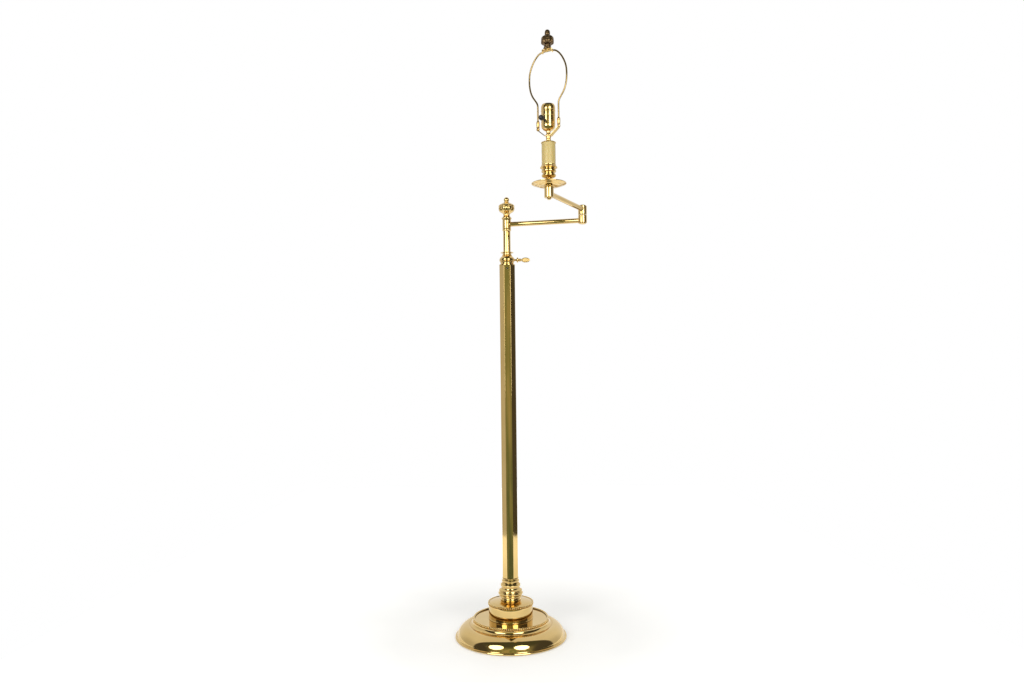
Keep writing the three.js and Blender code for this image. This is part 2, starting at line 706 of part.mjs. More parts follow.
function barrelGeometry(bore, floor, top) {
  const edge = 0.8;
  const outer = [
    [BARREL_RADIUS - edge, floor],
    [BARREL_RADIUS, floor + edge],
    [BARREL_RADIUS, top - edge],
    [BARREL_RADIUS - edge, top],
  ];
  return bored(outer, bore);
}

function buildArm1(arm) {
  add(arm, 'arm_1_barrel', barrelGeometry(pinBore, arm1Level, barrelTop), polishedBrass);
  const armTube = armTubeGeometry(ARM_1_LENGTH, BARREL_RADIUS, arm1Axis);
  add(arm, 'arm_1_tube', armTube, polishedBrass);
  add(arm, 'wire_arm_1', armWireGeometry(ARM_1_LENGTH, arm1Axis), blackPlastic);
  const elbow = new THREE.Group();
  elbow.position.x = ARM_1_LENGTH;
  arm.add(elbow);
  const lowerBarrel = barrelGeometry(ELBOW_PIN_RADIUS + SEAT, elbowFloor, elbowLowerTop);
  add(elbow, 'elbow_lower_barrel', lowerBarrel, polishedBrass);
  add(elbow, 'elbow_pin', rod(ELBOW_PIN_RADIUS, elbowFloor, elbowUpperTop - PIN_SHORT), steel);
  const capTop = elbowFloor - SEAT;
  const cap = [
    [0, capTop - CAP_HEIGHT],
    [CAP_RADIUS / 2, capTop - CAP_HEIGHT],
    [CAP_RADIUS, capTop - 1],
    [CAP_RADIUS, capTop],
    [0, capTop],
  ];
  add(elbow, 'elbow_cap_lower', turned(points(cap)), polishedBrass);
  const washerTop = washerFloor + WASHER_THICKNESS;
  const washer = tube(ELBOW_PIN_RADIUS + SEAT, BARREL_RADIUS - 0.6, washerFloor, washerTop);
  add(elbow, 'elbow_washer', washer, nylon);
}

function buildArm2(arm) {
  const barrel = barrelGeometry(elbowBore, elbowUpperFloor, elbowUpperTop);
  add(arm, 'elbow_upper_barrel', barrel, polishedBrass);
  const capFloor = elbowUpperTop + SEAT;
  const cap = [
    [0, capFloor],
    [CAP_RADIUS, capFloor],
    [CAP_RADIUS, capFloor + 1],
    [CAP_RADIUS / 2, capFloor + CAP_HEIGHT],
    [0, capFloor + CAP_HEIGHT],
  ];
  add(arm, 'elbow_cap_upper', turned(points(cap)), polishedBrass);
  const armTube = armTubeGeometry(ARM_2_LENGTH, BARREL_RADIUS, arm2Axis);
  add(arm, 'arm_2_tube', armTube, polishedBrass);
  add(arm, 'wire_arm_2', armWireGeometry(ARM_2_LENGTH, arm2Axis), blackPlastic);
}

// ---- Candle cup and post ----------------------------------------------------------------
function dishGeometry() {
  const underside = new THREE.Path();
  underside.moveTo(nippleHole, dishFloor);
  underside.lineTo(DISH_FLAT_RADIUS, dishFloor);
  const rim = dishFloor + DISH_RISE - DISH_WALL;
  underside.quadraticCurveTo(DISH_RADIUS - 6, dishFloor + 1, DISH_RADIUS, rim);
  const outer = underside.getPoints(4);
  const inner = outer.map((point) => new THREE.Vector2(point.x, point.y + DISH_WALL));
  return turned([...outer, ...inner.reverse(), outer[0].clone()], WIDE);
}

function candleCupGeometry() {
  const wide = CUP_RADIUS;
  const waist = CUP_WAIST_RADIUS;
  const seat = CANDLE_RADIUS + SEAT;
  const corners = [
    [nippleHole, cupFloor],
    [waist - 2, cupFloor],
    [waist + 2.5, cupFloor + 4],
    [waist + 2.5, cupFloor + 7],
    [waist, cupFloor + 11],
    [waist + 3, cupFloor + 15],
    [waist + 3, cupFloor + 18],
    [waist + 1.5, cupFloor + 20.5],
    [wide, cupFloor + 23],
    [wide, cupFloor + 28],
    [wide - 1.5, cupTop],
    [seat, cupTop],
    [seat, cupTop - CUP_SEAT_DEPTH],
    [nippleHole, cupTop - CUP_SEAT_DEPTH],
    [nippleHole, cupFloor],
  ];
  return turned(points(corners));
}

function buildPost(head) {
  add(head, 'post_barrel', barrelGeometry(nippleHole, postFloor, postTop), polishedBrass);
  const screwTop = postFloor - SEAT;
  const screw = [
    [0, screwTop - POST_SCREW_HEIGHT],
    [POST_SCREW_RADIUS / 2, screwTop - POST_SCREW_HEIGHT],
    [POST_SCREW_RADIUS, screwTop - 1.5],
    [POST_SCREW_RADIUS, screwTop],
    [0, screwTop],
  ];
  add(head, 'post_screw', turned(points(screw), NARROW), polishedBrass);
  const nipple = tube(NIPPLE_BORE, NIPPLE_RADIUS, postFloor, socketFloor + NIPPLE_TAIL, NARROW);
  add(head, 'post_nipple', nipple, steel);
  add(head, 'dish', dishGeometry(), polishedBrass);
  const dishNeckTop = dishNeckFloor + DISH_NECK_HEIGHT;
  const dishNeck = tube(nippleHole, NECK_RADIUS, dishNeckFloor, dishNeckTop, NARROW);
  add(head, 'dish_neck', dishNeck, polishedBrass);
  add(head, 'candle_cup', candleCupGeometry(), polishedBrass);
  const sleeve = tube(CANDLE_RADIUS - CANDLE_WALL, CANDLE_RADIUS, candleFloor, candleTop);
  add(head, 'candle_sleeve', sleeve, candleIvory);
  const capTop = candleCapFloor + CANDLE_CAP_THICKNESS;
  add(head, 'candle_cap', tube(nippleHole, CANDLE_CAP_RADIUS, candleCapFloor, capTop), polishedBrass);
  const neckTop = socketNeckFloor + SOCKET_NECK_HEIGHT;
  add(head, 'socket_neck', tube(nippleHole, NECK_RADIUS, socketNeckFloor, neckTop, NARROW), polishedBrass);
}

// ---- Socket -----------------------------------------------------------------------------
function knobRod(radius, start, end) {
  return alongX(rod(radius, start, end), knobLevel);
}

function socketCapGeometry() {
  const bowlFloor = socketFloor + CAP_FOOT_HEIGHT;
  const bowlTop = bowlFloor + CAP_BOWL_HEIGHT;
  const inner = SOCKET_RADIUS - SOCKET_WALL;
  const cup = [
    [nippleHole, socketFloor],
    [SOCKET_NECK_RADIUS, socketFloor],
    [SOCKET_NECK_RADIUS, bowlFloor],
    [SOCKET_RADIUS - 4, bowlFloor + 4],
    [SOCKET_RADIUS, bowlTop],
    [SOCKET_RADIUS, socketSeam],
    [inner, socketSeam],
    [inner, bowlTop + 0.4],
    [inner - 4, bowlFloor + 5],
    [nippleHole, bowlFloor + SOCKET_WALL],
    [nippleHole, socketFloor],
  ];
  const shaftHole = knobRod(KNOB_SHAFT_RADIUS + RUN, SOCKET_RADIUS - 4, SOCKET_RADIUS + 4);
  return cut(turned(points(cup)), shaftHole);
}

function socketShellGeometry() {
  const inner = SOCKET_RADIUS - SOCKET_WALL;
  const beadFloor = shellFloor + 11;
  const corners = [
    [inner, shellFloor],
    [SOCKET_RADIUS, shellFloor],
    [SOCKET_RADIUS, beadFloor],
    [SOCKET_RADIUS + 0.8, beadFloor + 1.5],
    [SOCKET_RADIUS, beadFloor + 3],
    [SOCKET_RADIUS, rimLevel],
    [inner, rimLevel],
    [inner, shellFloor],
  ];
  return turned(points(corners));
}

function screwShellGeometry() {
  const outer = bodyRadius;
  const floor = screwShellFloor;
  const corners = [
    [CONTACT_RADIUS + 2, floor],
    [outer, floor],
    [outer, rimLevel - 2],
    [screwShellBore, rimLevel - 2],
    [screwShellBore, floor + SCREW_SHELL_WALL],
    [CONTACT_RADIUS + 2, floor + SCREW_SHELL_WALL],
    [CONTACT_RADIUS + 2, floor],
  ];
  return turned(points(corners));
}

function buildSocket(head) {
  add(head, 'socket_cap', socketCapGeometry(), polishedBrass);
  add(head, 'socket_shell', socketShellGeometry(), polishedBrass);
  const liner = tube(linerRadius - LINER_WALL, linerRadius, shellFloor, rimLevel - 0.8);
  add(head, 'socket_liner', liner, fibre);
  const body = rod(bodyRadius, bodyFloor, bodyTop, MEDIUM);
  const shaftHole = knobRod(KNOB_SHAFT_RADIUS + RUN, KNOB_SHAFT_START - RUN, SOCKET_RADIUS);
  add(head, 'socket_body', cut(body, shaftHole), phenolic);
  add(head, 'screw_shell', screwShellGeometry(), polishedBrass);
  const contact = rod(CONTACT_RADIUS, screwShellFloor, screwShellFloor + CONTACT_HEIGHT);
  add(head, 'centre_contact', contact, polishedBrass);
  for (const [side, name] of [[1, 'terminal_screw_hot'], [-1, 'terminal_screw_neutral']]) {
    const screw = rod(TERMINAL_RADIUS, terminalTop - TERMINAL_HEIGHT, terminalTop);
    screw.translate(0, side * TERMINAL_OFFSET, 0);
    add(head, name, screw, steel);
  }
}

function knobGeometry() {
  const end = KNOB_START + KNOB_LENGTH;
  const corners = [
    [0, KNOB_SHAFT_START],
    [KNOB_SHAFT_RADIUS, KNOB_SHAFT_START],
    [KNOB_SHAFT_RADIUS, KNOB_START],
    [KNOB_RADIUS - 2, KNOB_START],
    [KNOB_RADIUS, KNOB_START + 3],
    [KNOB_RADIUS, end - 3],
    [KNOB_RADIUS - 2, end],
    [0, end],
  ];
  return alongX(turned(points(corners), NARROW), knobLevel);
}

// ---- Harp -------------------------------------------------------------------------------
// A bent strip, level under the socket, with both ends turned up to hold the harp's legs.
function saddleGeometry() {
  const outline = new THREE.Shape();
  const half = SADDLE_THICKNESS / 2;
  const reach = HARP_LEG_OFFSET;
  const bend = SADDLE_RISE - 4;
  const right = [
    [SADDLE_FLAT, 0],
    [reach + half, bend - 2],
    [reach + half, SADDLE_RISE],
    [reach - half, SADDLE_RISE],
    [reach - half, bend - 1],
    [SADDLE_FLAT - half, SADDLE_THICKNESS],
  ];
  const left = right.map(([x, y]) => [-x, y]).reverse();
  outline.setFromPoints([...right, ...left].map(([x, y]) => new THREE.Vector2(x, y)));
  const strip = new THREE.ExtrudeGeometry(outline, { depth: SADDLE_WIDTH, bevelEnabled: false });
  strip.translate(0, 0, -SADDLE_WIDTH / 2);
  strip.rotateX(Math.PI / 2);
  strip.rotateZ(Math.PI / 2);
  strip.translate(0, 0, saddleFloor);
  return cut(strip, rod(nippleHole, saddleFloor - 1, saddleTop + 1));
}

// Half of the harp's outline as offsets from the lamp axis against height above the saddle.
function harpHalf() {
  const leg = HARP_LEG_OFFSET;
  const wide = HARP_WIDEST - HARP_WIRE_RADIUS;
  const top = HARP_HEIGHT - HARP_WIRE_RADIUS;
  const legEnd = legFloor - saddleTop;
  return [
    [leg, legEnd],
    [leg, top * 0.24],
    [leg, top * 0.38],
    [leg + (wide - leg) * 0.5, top * 0.47],
    [wide - 3, top * 0.58],
    [wide, top * 0.69],
    [wide - 3, top * 0.8],
    [wide - 12, top * 0.9],
    [wide - 26, top * 0.975],
    [PLATE_LENGTH / 2, top - 0.8],
  ];
}

function harpWireGeometry() {
  const half = harpHalf().map(([offset, height]) => {
    return new THREE.Vector3(0, offset, saddleTop + height);
  });
  const mirrored = half.map((point) => new THREE.Vector3(0, -point.y, point.z)).reverse();
  const crown = new THREE.Vector3(0, 0, harpTop - HARP_WIRE_RADIUS);
  const path = new THREE.CatmullRomCurve3([...half, crown, ...mirrored], false, 'centripetal');
  const section = new THREE.Shape();
  section.absarc(0, 0, HARP_WIRE_RADIUS, 0, Math.PI * 2, false);
  const curveSegments = WIRE_SIDES / 2;
  const options = { steps: 40, extrudePath: path, curveSegments, bevelEnabled: false };
  return new THREE.ExtrudeGeometry(section, options);
}

function topPlateGeometry() {
  const plate = new THREE.BoxGeometry(PLATE_WIDTH, PLATE_LENGTH, PLATE_THICKNESS);
  plate.translate(0, 0, plateFloor + PLATE_THICKNESS / 2);
  return cut(plate, rod(STUD_RADIUS + SEAT, plateFloor - 1, plateTop + 1));
}

function harpFinialGeometry() {
  const wide = HARP_FINIAL_RADIUS;
  const foot = HARP_FINIAL_FOOT_RADIUS;
  const knob = HARP_FINIAL_KNOB_RADIUS;
  const floor = harpFinialFloor;
  const top = floor + HARP_FINIAL_HEIGHT;
  const boreTop = plateTop + STUD_HEIGHT + SEAT;
  const corners = [
    [0, boreTop],
    [STUD_RADIUS + SEAT, boreTop],
    [STUD_RADIUS + SEAT, floor],
    [foot, floor],
    [foot, floor + 5],
    [foot - 3, floor + 9],
    [foot - 1, floor + 11],
    [wide, floor + 17],
    [wide, floor + 24],
    [knob - 1, floor + 33],
    [knob, floor + 36],
    [knob, floor + 41],
    [knob - 4, top],
    [0, top],
  ];
  return turned(points(corners));
}

function buildHarp(head) {
  add(head, 'harp_saddle', saddleGeometry(), polishedBrass);
  add(head, 'harp_wire', harpWireGeometry(), polishedBrass);
  add(head, 'harp_top_plate', topPlateGeometry(), polishedBrass);
  add(head, 'harp_stud', rod(STUD_RADIUS, plateFloor, plateTop + STUD_HEIGHT), polishedBrass);
  for (const [side, name] of [[1, 'harp_sleeve_left'], [-1, 'harp_sleeve_right']]) {
    const floor = legFloor + SLEEVE_START;
    const sleeve = tube(HARP_WIRE_RADIUS + RUN, SLEEVE_RADIUS, floor, floor + SLEEVE_LENGTH, NARROW);
    sleeve.translate(0, side * HARP_LEG_OFFSET, 0);
    add(head, name, sleeve, polishedBrass);
  }
  add(head, 'harp_finial', harpFinialGeometry(), antiqueBronze);
}

// ---- Assembly ---------------------------------------------------------------------------
function buildLamp() {
  const lamp = new THREE.Group();
  const stand = new THREE.Group();
  lamp.add(stand);
  buildBase(stand);
  buildDrum(stand);
  buildColumn(stand);
  buildClamp(lamp);

  const pole = new THREE.Group();
  lamp.add(pole);
  buildPole(pole);

  const arm1 = new THREE.Group();
  arm1.rotation.z = ARM_1_ANGLE;
  pole.add(arm1);
  buildArm1(arm1);

  const arm2 = new THREE.Group();
  arm2.position.x = ARM_1_LENGTH;
  arm2.rotation.z = ELBOW_ANGLE;
  arm1.add(arm2);
  buildArm2(arm2);

  const head = new THREE.Group();
  head.position.x = ARM_2_LENGTH;
  arm2.add(head);
  buildPost(head);
  buildSocket(head);
  add(head, 'switch_knob', knobGeometry(), blackPlastic);
  buildHarp(head);
  return lamp;
}

export default buildLamp();
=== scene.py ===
import json
import math

import bmesh
import bpy
import numpy as np
from mathutils import Matrix, Vector


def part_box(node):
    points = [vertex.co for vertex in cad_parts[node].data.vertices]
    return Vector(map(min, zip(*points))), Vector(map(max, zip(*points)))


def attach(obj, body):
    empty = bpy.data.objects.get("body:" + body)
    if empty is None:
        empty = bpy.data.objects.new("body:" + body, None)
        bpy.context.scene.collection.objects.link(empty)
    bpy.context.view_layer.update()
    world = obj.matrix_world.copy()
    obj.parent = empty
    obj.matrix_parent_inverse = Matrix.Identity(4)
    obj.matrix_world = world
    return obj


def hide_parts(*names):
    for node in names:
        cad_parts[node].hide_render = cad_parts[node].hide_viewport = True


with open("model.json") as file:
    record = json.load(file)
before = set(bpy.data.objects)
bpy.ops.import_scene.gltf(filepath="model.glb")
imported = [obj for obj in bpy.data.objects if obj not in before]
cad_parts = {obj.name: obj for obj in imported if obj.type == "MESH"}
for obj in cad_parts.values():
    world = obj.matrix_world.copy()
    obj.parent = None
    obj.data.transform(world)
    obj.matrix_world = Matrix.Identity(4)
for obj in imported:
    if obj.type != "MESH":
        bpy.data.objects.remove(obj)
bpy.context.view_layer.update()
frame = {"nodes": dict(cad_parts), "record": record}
nodes = frame["nodes"]
scene = bpy.context.scene

# ---- Camera ----
CAMERA_PLACE = (0.0097, -1.959, 0.6824)
CAMERA_ROLL = 0.61  # degrees, because the photo leans a little

camera_data = bpy.data.cameras.new("camera")
camera_data.sensor_width = 36
camera_data.lens = 26.19
camera_data.shift_y = 0.0337
camera_data.clip_end = 50
camera = bpy.data.objects.new("camera", camera_data)
camera.location = CAMERA_PLACE
camera.rotation_euler = (math.radians(90), math.radians(CAMERA_ROLL), 0)
scene.collection.objects.link(camera)
scene.camera = camera

scene.view_settings.view_transform = "Standard"

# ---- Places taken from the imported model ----
MM = 1000


def ends_of(node):
    """The lowest and the highest level of a node, in millimetres."""
    low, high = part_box(node)
    return low.z * MM, high.z * MM


def floor_of(node):
    return ends_of(node)[0]


def top_of(node):
    return ends_of(node)[1]


def level_of(node):
    """The level of a node's middle, in millimetres."""
    low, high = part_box(node)
    return (low.z + high.z) / 2 * MM


def centre_of(node):
    low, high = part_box(node)
    return (low + high) / 2


def radius_of(node):
    low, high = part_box(node)
    return (high.x - low.x) / 2 * MM


elbow_at = centre_of("elbow_upper_barrel")
lamp_at = centre_of("post_barrel")
arm_1_yaw = math.atan2(elbow_at.y, elbow_at.x)
arm_2_yaw = math.atan2(lamp_at.y - elbow_at.y, lamp_at.x - elbow_at.x)


def local(at=(0, 0), yaw=0):
    """Millimetres about an upright axis to metres in the frame."""
    turn = Matrix.Rotation(yaw, 4, "Z")
    return Matrix.Translation((at[0], at[1], 0)) @ turn @ Matrix.Scale(1 / MM, 4)


AXIS = local()
ARM_1 = local(yaw=arm_1_yaw)
ELBOW_1 = local(elbow_at, arm_1_yaw)
ARM_2 = local(elbow_at, arm_2_yaw)
HEAD = local(lamp_at, arm_2_yaw)

# These lay an upright piece down, with its top towards the back, the front or the right.
TO_BACK = Matrix.Rotation(math.radians(-90), 4, "X")
TO_FRONT = Matrix.Rotation(math.radians(90), 4, "X")
TO_RIGHT = Matrix.Rotation(math.radians(90), 4, "Y")


def shifted(y, z):
    return Matrix.Translation((0, y, z))


# ---- Mesh code ----
SHARP = 34  # degrees between two faces, above which their edge stays sharp
WELD = 2e-6  # metres between points that become one
TINY = 1e-7  # metres, the length of an edge that is dropped
STRAIGHT = math.radians(178)  # a corner this flat isn't rounded
SIDES = 72  # points round a ring, where a call doesn't say


def arc(x, z, radius, start, end, steps=10):
    """Points on a circle of a section, angles in degrees."""
    angles = np.radians(np.linspace(start, end, steps + 1))
    return [(x + radius * math.cos(a), z + radius * math.sin(a)) for a in angles]


def rounded(corners, steps=5, closed=False):
    """A polyline whose corners, given as (x, z, fillet), are rounded."""
    out = []
    count = len(corners)
    for i, corner in enumerate(corners):
        here = Vector(corner[:2])
        fillet = corner[2] if len(corner) > 2 else 0
        if not fillet or (not closed and i in (0, count - 1)):
            out.append((here.x, here.y))
            continue
        before = Vector(corners[i - 1][:2]) - here
        after = Vector(corners[(i + 1) % count][:2]) - here
        angle = before.angle(after, math.pi)
        if angle > STRAIGHT:
            out.append((here.x, here.y))
            continue
        room = 0.49 * min(before.length, after.length)
        reach = min(fillet / math.tan(angle / 2), room)
        a = here + before.normalized() * reach
        b = here + after.normalized() * reach
        for k in range(steps + 1):
            t = k / steps
            p = a * (1 - t) ** 2 + here * 2 * t * (1 - t) + b * t**2
            out.append((p.x, p.y))
    return out


def smooth_path(points, steps=8):
    """A Catmull-Rom line through 2-D points."""
    pts = [np.array(p, float) for p in points]
    pts = [2 * pts[0] - pts[1], *pts, 2 * pts[-1] - pts[-2]]
    out = []
    for i in range(1, len(pts) - 2):
        p0, p1, p2, p3 = pts[i - 1 : i + 3]
        square = 2 * p0 - 5 * p1 + 4 * p2 - p3
        cube = 3 * p1 - p0 - 3 * p2 + p3
        for k in range(steps):
            t = k / steps
            out.append(0.5 * (2 * p1 + (p2 - p0) * t + square * t**2 + cube * t**3))
    out.append(pts[-2])
    return [tuple(p) for p in out]


def filled(points, step):
    """The same polyline with points about a step apart."""
    out = []
    for (x, z), (x_next, z_next) in zip(points, points[1:]):
        count = max(1, int(math.dist((x, z), (x_next, z_next)) / step))
        out.extend((x + (x_next - x) * k / count, z + (z_next - z) * k / count) for k in range(count))
    return [*out, points[-1]]


def round_angles(sides):
    return np.arange(sides) * 2 * math.pi / sides


def level_ring(radii, height, sides=SIDES):
    """Points round Z at one height; radii is one radius, or one for each angle."""
    angles = round_angles(sides)
    return np.stack([radii * np.cos(angles), radii * np.sin(angles), np.full(sides, float(height))], 1)


def thread(low, high, core, depth, pitch, lines, run_out):
    """Rows of a screw thread between two heights, fading out over some rows at each end."""
    rows = []
    for k in range(lines + 1):
        height = low + (high - low) * k / lines
        fade = min(1, k / run_out, (lines - k) / run_out)
        wave = np.sin(2 * math.pi * height / pitch - round_angles(SIDES))
        rows.append(level_ring(core + depth * wave * fade, height))
    return rows


def closed_ends(rows):
    """Adds the middle of the first and of the last row, so that both ends are closed."""
    first, last = (np.tile(np.mean(row, 0), (len(row), 1)) for row in (rows[0], rows[-1]))
    return [first, *rows, last]


def ribbon(spine, half_width, half_thick, fillet, level):
    """A flat bar along (y, height) points; half_width(y, height) is half its width there."""
    rows = []
    for i, (y, h) in enumerate(spine):
        ahead, behind = spine[min(i + 1, len(spine) - 1)], spine[max(i - 1, 0)]
        along = np.array([ahead[0] - behind[0], ahead[1] - behind[1]])
        along /= np.linalg.norm(along)
        wide = half_width(y, h)
        corners = [(-wide, -half_thick), (wide, -half_thick), (wide, half_thick), (-wide, half_thick)]
        section = rounded([(*corner, fillet) for corner in corners], 3, True)
        rows.append([(x, y - along[1] * lift, level + h + along[0] * lift) for x, lift in section])
    return closed_ends(rows)


class Shape:
    """Collects parts of one piece in millimetres, and makes it one mesh."""

    def __init__(self):
        self.points = []
        self.faces = []

    def grid(self, rows, around=True, along=False):
        """Joins rows of points by faces; around closes each row, along joins last to first."""
        rows = np.asarray(rows, float)
        count, width = rows.shape[:2]
        first = len(self.points)
        self.points.extend(rows.reshape(-1, 3).tolist())
        for i in range(count if along else count - 1):
            for j in range(width if around else width - 1):
                a = first + i * width + j
                b = first + i * width + (j + 1) % width
                c = first + (i + 1) % count * width + (j + 1) % width
                d = first + (i + 1) % count * width + j
                self.faces.append((a, b, c, d))
        return self

    def turned(self, section, sides=96, closed=False, warp=None):
        """Spins a section about Z; warp(angles, radius, height) gives new radii."""
        angles = round_angles(sides)
        rows = []
        for radius, height in section:
            radii = warp(angles, radius, height) if warp else radius
            rows.append(level_ring(radii, height, sides))
        return self.grid(rows, True, closed)

    def beads(self, ring, height, count, size):
        """Separate beads round a ring; size is half-lengths along, across and up."""
        lines, sides = 10, 14
        angles = round_angles(sides)
        for n in range(count):
            turn = 2 * math.pi * n / count
            out = np.array([math.cos(turn), math.sin(turn), 0])
            side = np.array([-math.sin(turn), math.cos(turn), 0])
            rows = []
            for i in range(lines + 1):
                latitude = math.pi * (i / lines - 0.5)
                narrow = math.cos(latitude)
                rows.append(
                    out * ring
                    + np.outer(np.cos(angles) * narrow * size[1], out)
                    + np.outer(np.sin(angles) * narrow * size[0], side)
                    + np.array([0, 0, height + math.sin(latitude) * size[2]])
                )
            self.grid(rows)

    def moved(self, matrix, start=0):
        """Moves the points that were added from number start on."""
        for i in range(start, len(self.points)):
            self.points[i] = list(matrix @ Vector(self.points[i]))
        return self

    def made(self, name, where, sharp=SHARP):
        mesh = bpy.data.meshes.new(name)
        mesh.from_pydata(self.points, [], self.faces)
        mesh.transform(where)
        work = bmesh.new()
        work.from_mesh(mesh)
        bmesh.ops.remove_doubles(work, verts=work.verts, dist=WELD)
        bmesh.ops.dissolve_degenerate(work, edges=work.edges, dist=TINY)
        bmesh.ops.recalc_face_normals(work, faces=work.faces)
        work.to_mesh(mesh)
        work.free()
        mesh.shade_smooth()
        mesh.set_sharp_from_angle(angle=math.radians(sharp))
        piece = bpy.data.objects.new(name, mesh)
        scene.collection.objects.link(piece)
        return piece


def circle(radius, sides):
    angles = round_angles(sides)
    return np.stack([radius * np.cos(angles), radius * np.sin(angles)], 1)


def cut(piece, tool_shape, name, where):
    """Takes one shape out of a piece for good."""
    tool = tool_shape.made(name, where)
    modifier = piece.modifiers.new("cut", "BOOLEAN")
    modifier.object = tool
    modifier.operation = "DIFFERENCE"
    modifier.solver = "EXACT"
    bpy.context.view_layer.update()
    done = piece.evaluated_get(bpy.context.evaluated_depsgraph_get())
    mesh = bpy.data.meshes.new_from_object(done)
    work = bmesh.new()
    work.from_mesh(mesh)
    bmesh.ops.remove_doubles(work, verts=work.verts, dist=2 * WELD)
    work.to_mesh(mesh)
    work.free()
    piece.modifiers.clear()
    piece.data = mesh
    bpy.data.objects.remove(tool)
    mesh.shade_smooth()
    mesh.set_sharp_from_angle(angle=math.radians(SHARP))


def drill(piece, name, radius, start, end, turn, level, sides):
    """Takes a level round hole out of a piece, between two distances from the axis."""
    hole = Shape().turned([(0, start), (radius, start), (radius, end), (0, end)], sides)
    cut(piece, hole.moved(turn).moved(shifted(0, level)), name, AXIS)


# ---- Materials ----
class Finish:
    """A node material with its colour, roughness and relief made from noise."""

    def __init__(self, name, metal, coat=0.0):
        self.material = bpy.data.materials.new(name)
        self.material.use_nodes = True
        self.tree = self.material.node_tree
        self.new = self.tree.nodes.new
        self.link = self.tree.links.new
        self.shader = self.tree.nodes["Principled BSDF"]
        self.shader.inputs["Metallic"].default_value = metal
        self.shader.inputs["Coat Weight"].default_value = coat
        self.shader.inputs["Coat Roughness"].default_value = 0.04
        self.place = self.new("ShaderNodeTexCoord").outputs["Object"]
        self.relief = None

    def noise(self, scale, detail=4.0, stretch=(1, 1, 1), roughness=0.55):
        place = self.place
        if stretch != (1, 1, 1):
            mapping = self.new("ShaderNodeMapping")
            mapping.inputs["Scale"].default_value = stretch
            self.link(place, mapping.inputs["Vector"])
            place = mapping.outputs["Vector"]
        noise = self.new("ShaderNodeTexNoise")
        noise.inputs["Scale"].default_value = scale
        noise.inputs["Detail"].default_value = detail
        noise.inputs["Roughness"].default_value = roughness
        self.link(place, noise.inputs["Vector"])
        return noise.outputs["Fac"]

    def ramp(self, source, stops):
        node = self.new("ShaderNodeValToRGB")
        node.color_ramp.interpolation = "EASE"
        while len(node.color_ramp.elements) < len(stops):
            node.color_ramp.elements.new(0.5)
        for element, (place, colour) in zip(node.color_ramp.elements, stops):
            element.position = place
            element.color = (*colour, 1)
        self.link(source, node.inputs["Fac"])
        return node.outputs["Color"]

    def spread(self, source, low, high, start=0.3, end=0.7):
        """Maps start to end onto low to high."""
        node = self.new("ShaderNodeMapRange")
        node.inputs["From Min"].default_value = start
        node.inputs["From Max"].default_value = end
        node.inputs["To Min"].default_value = low
        node.inputs["To Max"].default_value = high
        self.link(source, node.inputs["Value"])
        return node.outputs["Result"]

    def mix(self, factor, a, b):
        node = self.new("ShaderNodeMix")
        node.data_type = "RGBA"
        self.link(factor, node.inputs["Factor"])
        self.link(a, node.inputs[6])
        self.link(b, node.inputs[7])
        return node.outputs[2]

    def crevice(self, start=0.42, end=0.5):
        """Is 1 in the hollows of the mesh and 0 elsewhere."""
        geometry = self.new("ShaderNodeNewGeometry")
        return self.spread(geometry.outputs["Pointiness"], 1, 0, start, end)

    def colour(self, source):
        self.link(source, self.shader.inputs["Base Color"])

    def rough(self, source):
        self.link(source, self.shader.inputs["Roughness"])

    def bump(self, source, distance, strength):
        """Adds relief on top of what is there."""
        node = self.new("ShaderNodeBump")
        node.inputs["Distance"].default_value = distance
        node.inputs["Strength"].default_value = strength
        self.link(source, node.inputs["Height"])
        if self.relief is not None:
            self.link(self.relief, node.inputs["Normal"])
        self.relief = node.outputs["Normal"]
        self.link(self.relief, self.shader.inputs["Normal"])


def brass(name, wave=0.00002, streaks=False, rough=(0.035, 0.095), light=1.0):
    """Polished brass that is mottled, and darker and more orange in hollows as painted shade; streaks run
    along Z.
    """
    made = Finish(name, 1.0)
    dull = tuple(c * light for c in (0.72, 0.51, 0.20))
    bright = tuple(c * light for c in (0.79, 0.57, 0.245))
    clean = made.ramp(made.noise(9, 5), [(0.3, dull), (0.7, bright)])
    # Painted shade: a darker, more orange brass in the hollows stands in for the shade and inter-reflections
    # there.
    painted_hollow_shade = made.ramp(made.noise(60, 4), [(0.35, (0.52, 0.27, 0.055)), (0.7, (0.66, 0.39, 0.10))])
    made.colour(made.mix(made.crevice(), clean, painted_hollow_shade))
    made.rough(made.spread(made.noise(35, 6, roughness=0.7), *rough))
    stretch = (1, 1, 0.16) if streaks else (1, 1, 1)
    made.bump(made.noise(28, 3, stretch), wave * 10, 0.35)
    if streaks:
        made.bump(made.noise(150, 3, (1, 1, 0.012)), 0.00012, 0.5)
    made.bump(made.noise(900, 2), 0.000012, 0.35)
    return made.material


# Near-black brass for the groove behind the beads: partly patina, partly painted shade for the deep recess.
def patina_and_shade_brass():
    made = Finish("patina_and_shade_brass", 1.0)
    made.colour(made.ramp(made.noise(150, 5), [(0.3, (0.10, 0.055, 0.015)), (0.7, (0.26, 0.15, 0.04))]))
    made.rough(made.spread(made.noise(90, 5), 0.3, 0.5))
    made.bump(made.noise(700, 4), 0.0001, 0.4)
    return made.material


def bronze():
    made = Finish("antique_bronze", 1.0)
    rubbed = made.ramp(made.noise(160, 5), [(0.3, (0.15, 0.088, 0.04)), (0.75, (0.42, 0.29, 0.15))])
    dark = made.ramp(made.noise(240, 5), [(0.35, (0.025, 0.014, 0.008)), (0.7, (0.07, 0.04, 0.02))])
    made.colour(made.mix(made.crevice(0.44, 0.54), rubbed, dark))
    made.rough(made.spread(made.noise(220, 6), 0.22, 0.46))
    made.bump(made.noise(420, 5), 0.0004, 0.45)
    made.bump(made.noise(1500, 3), 0.0001, 0.3)
    return made.material


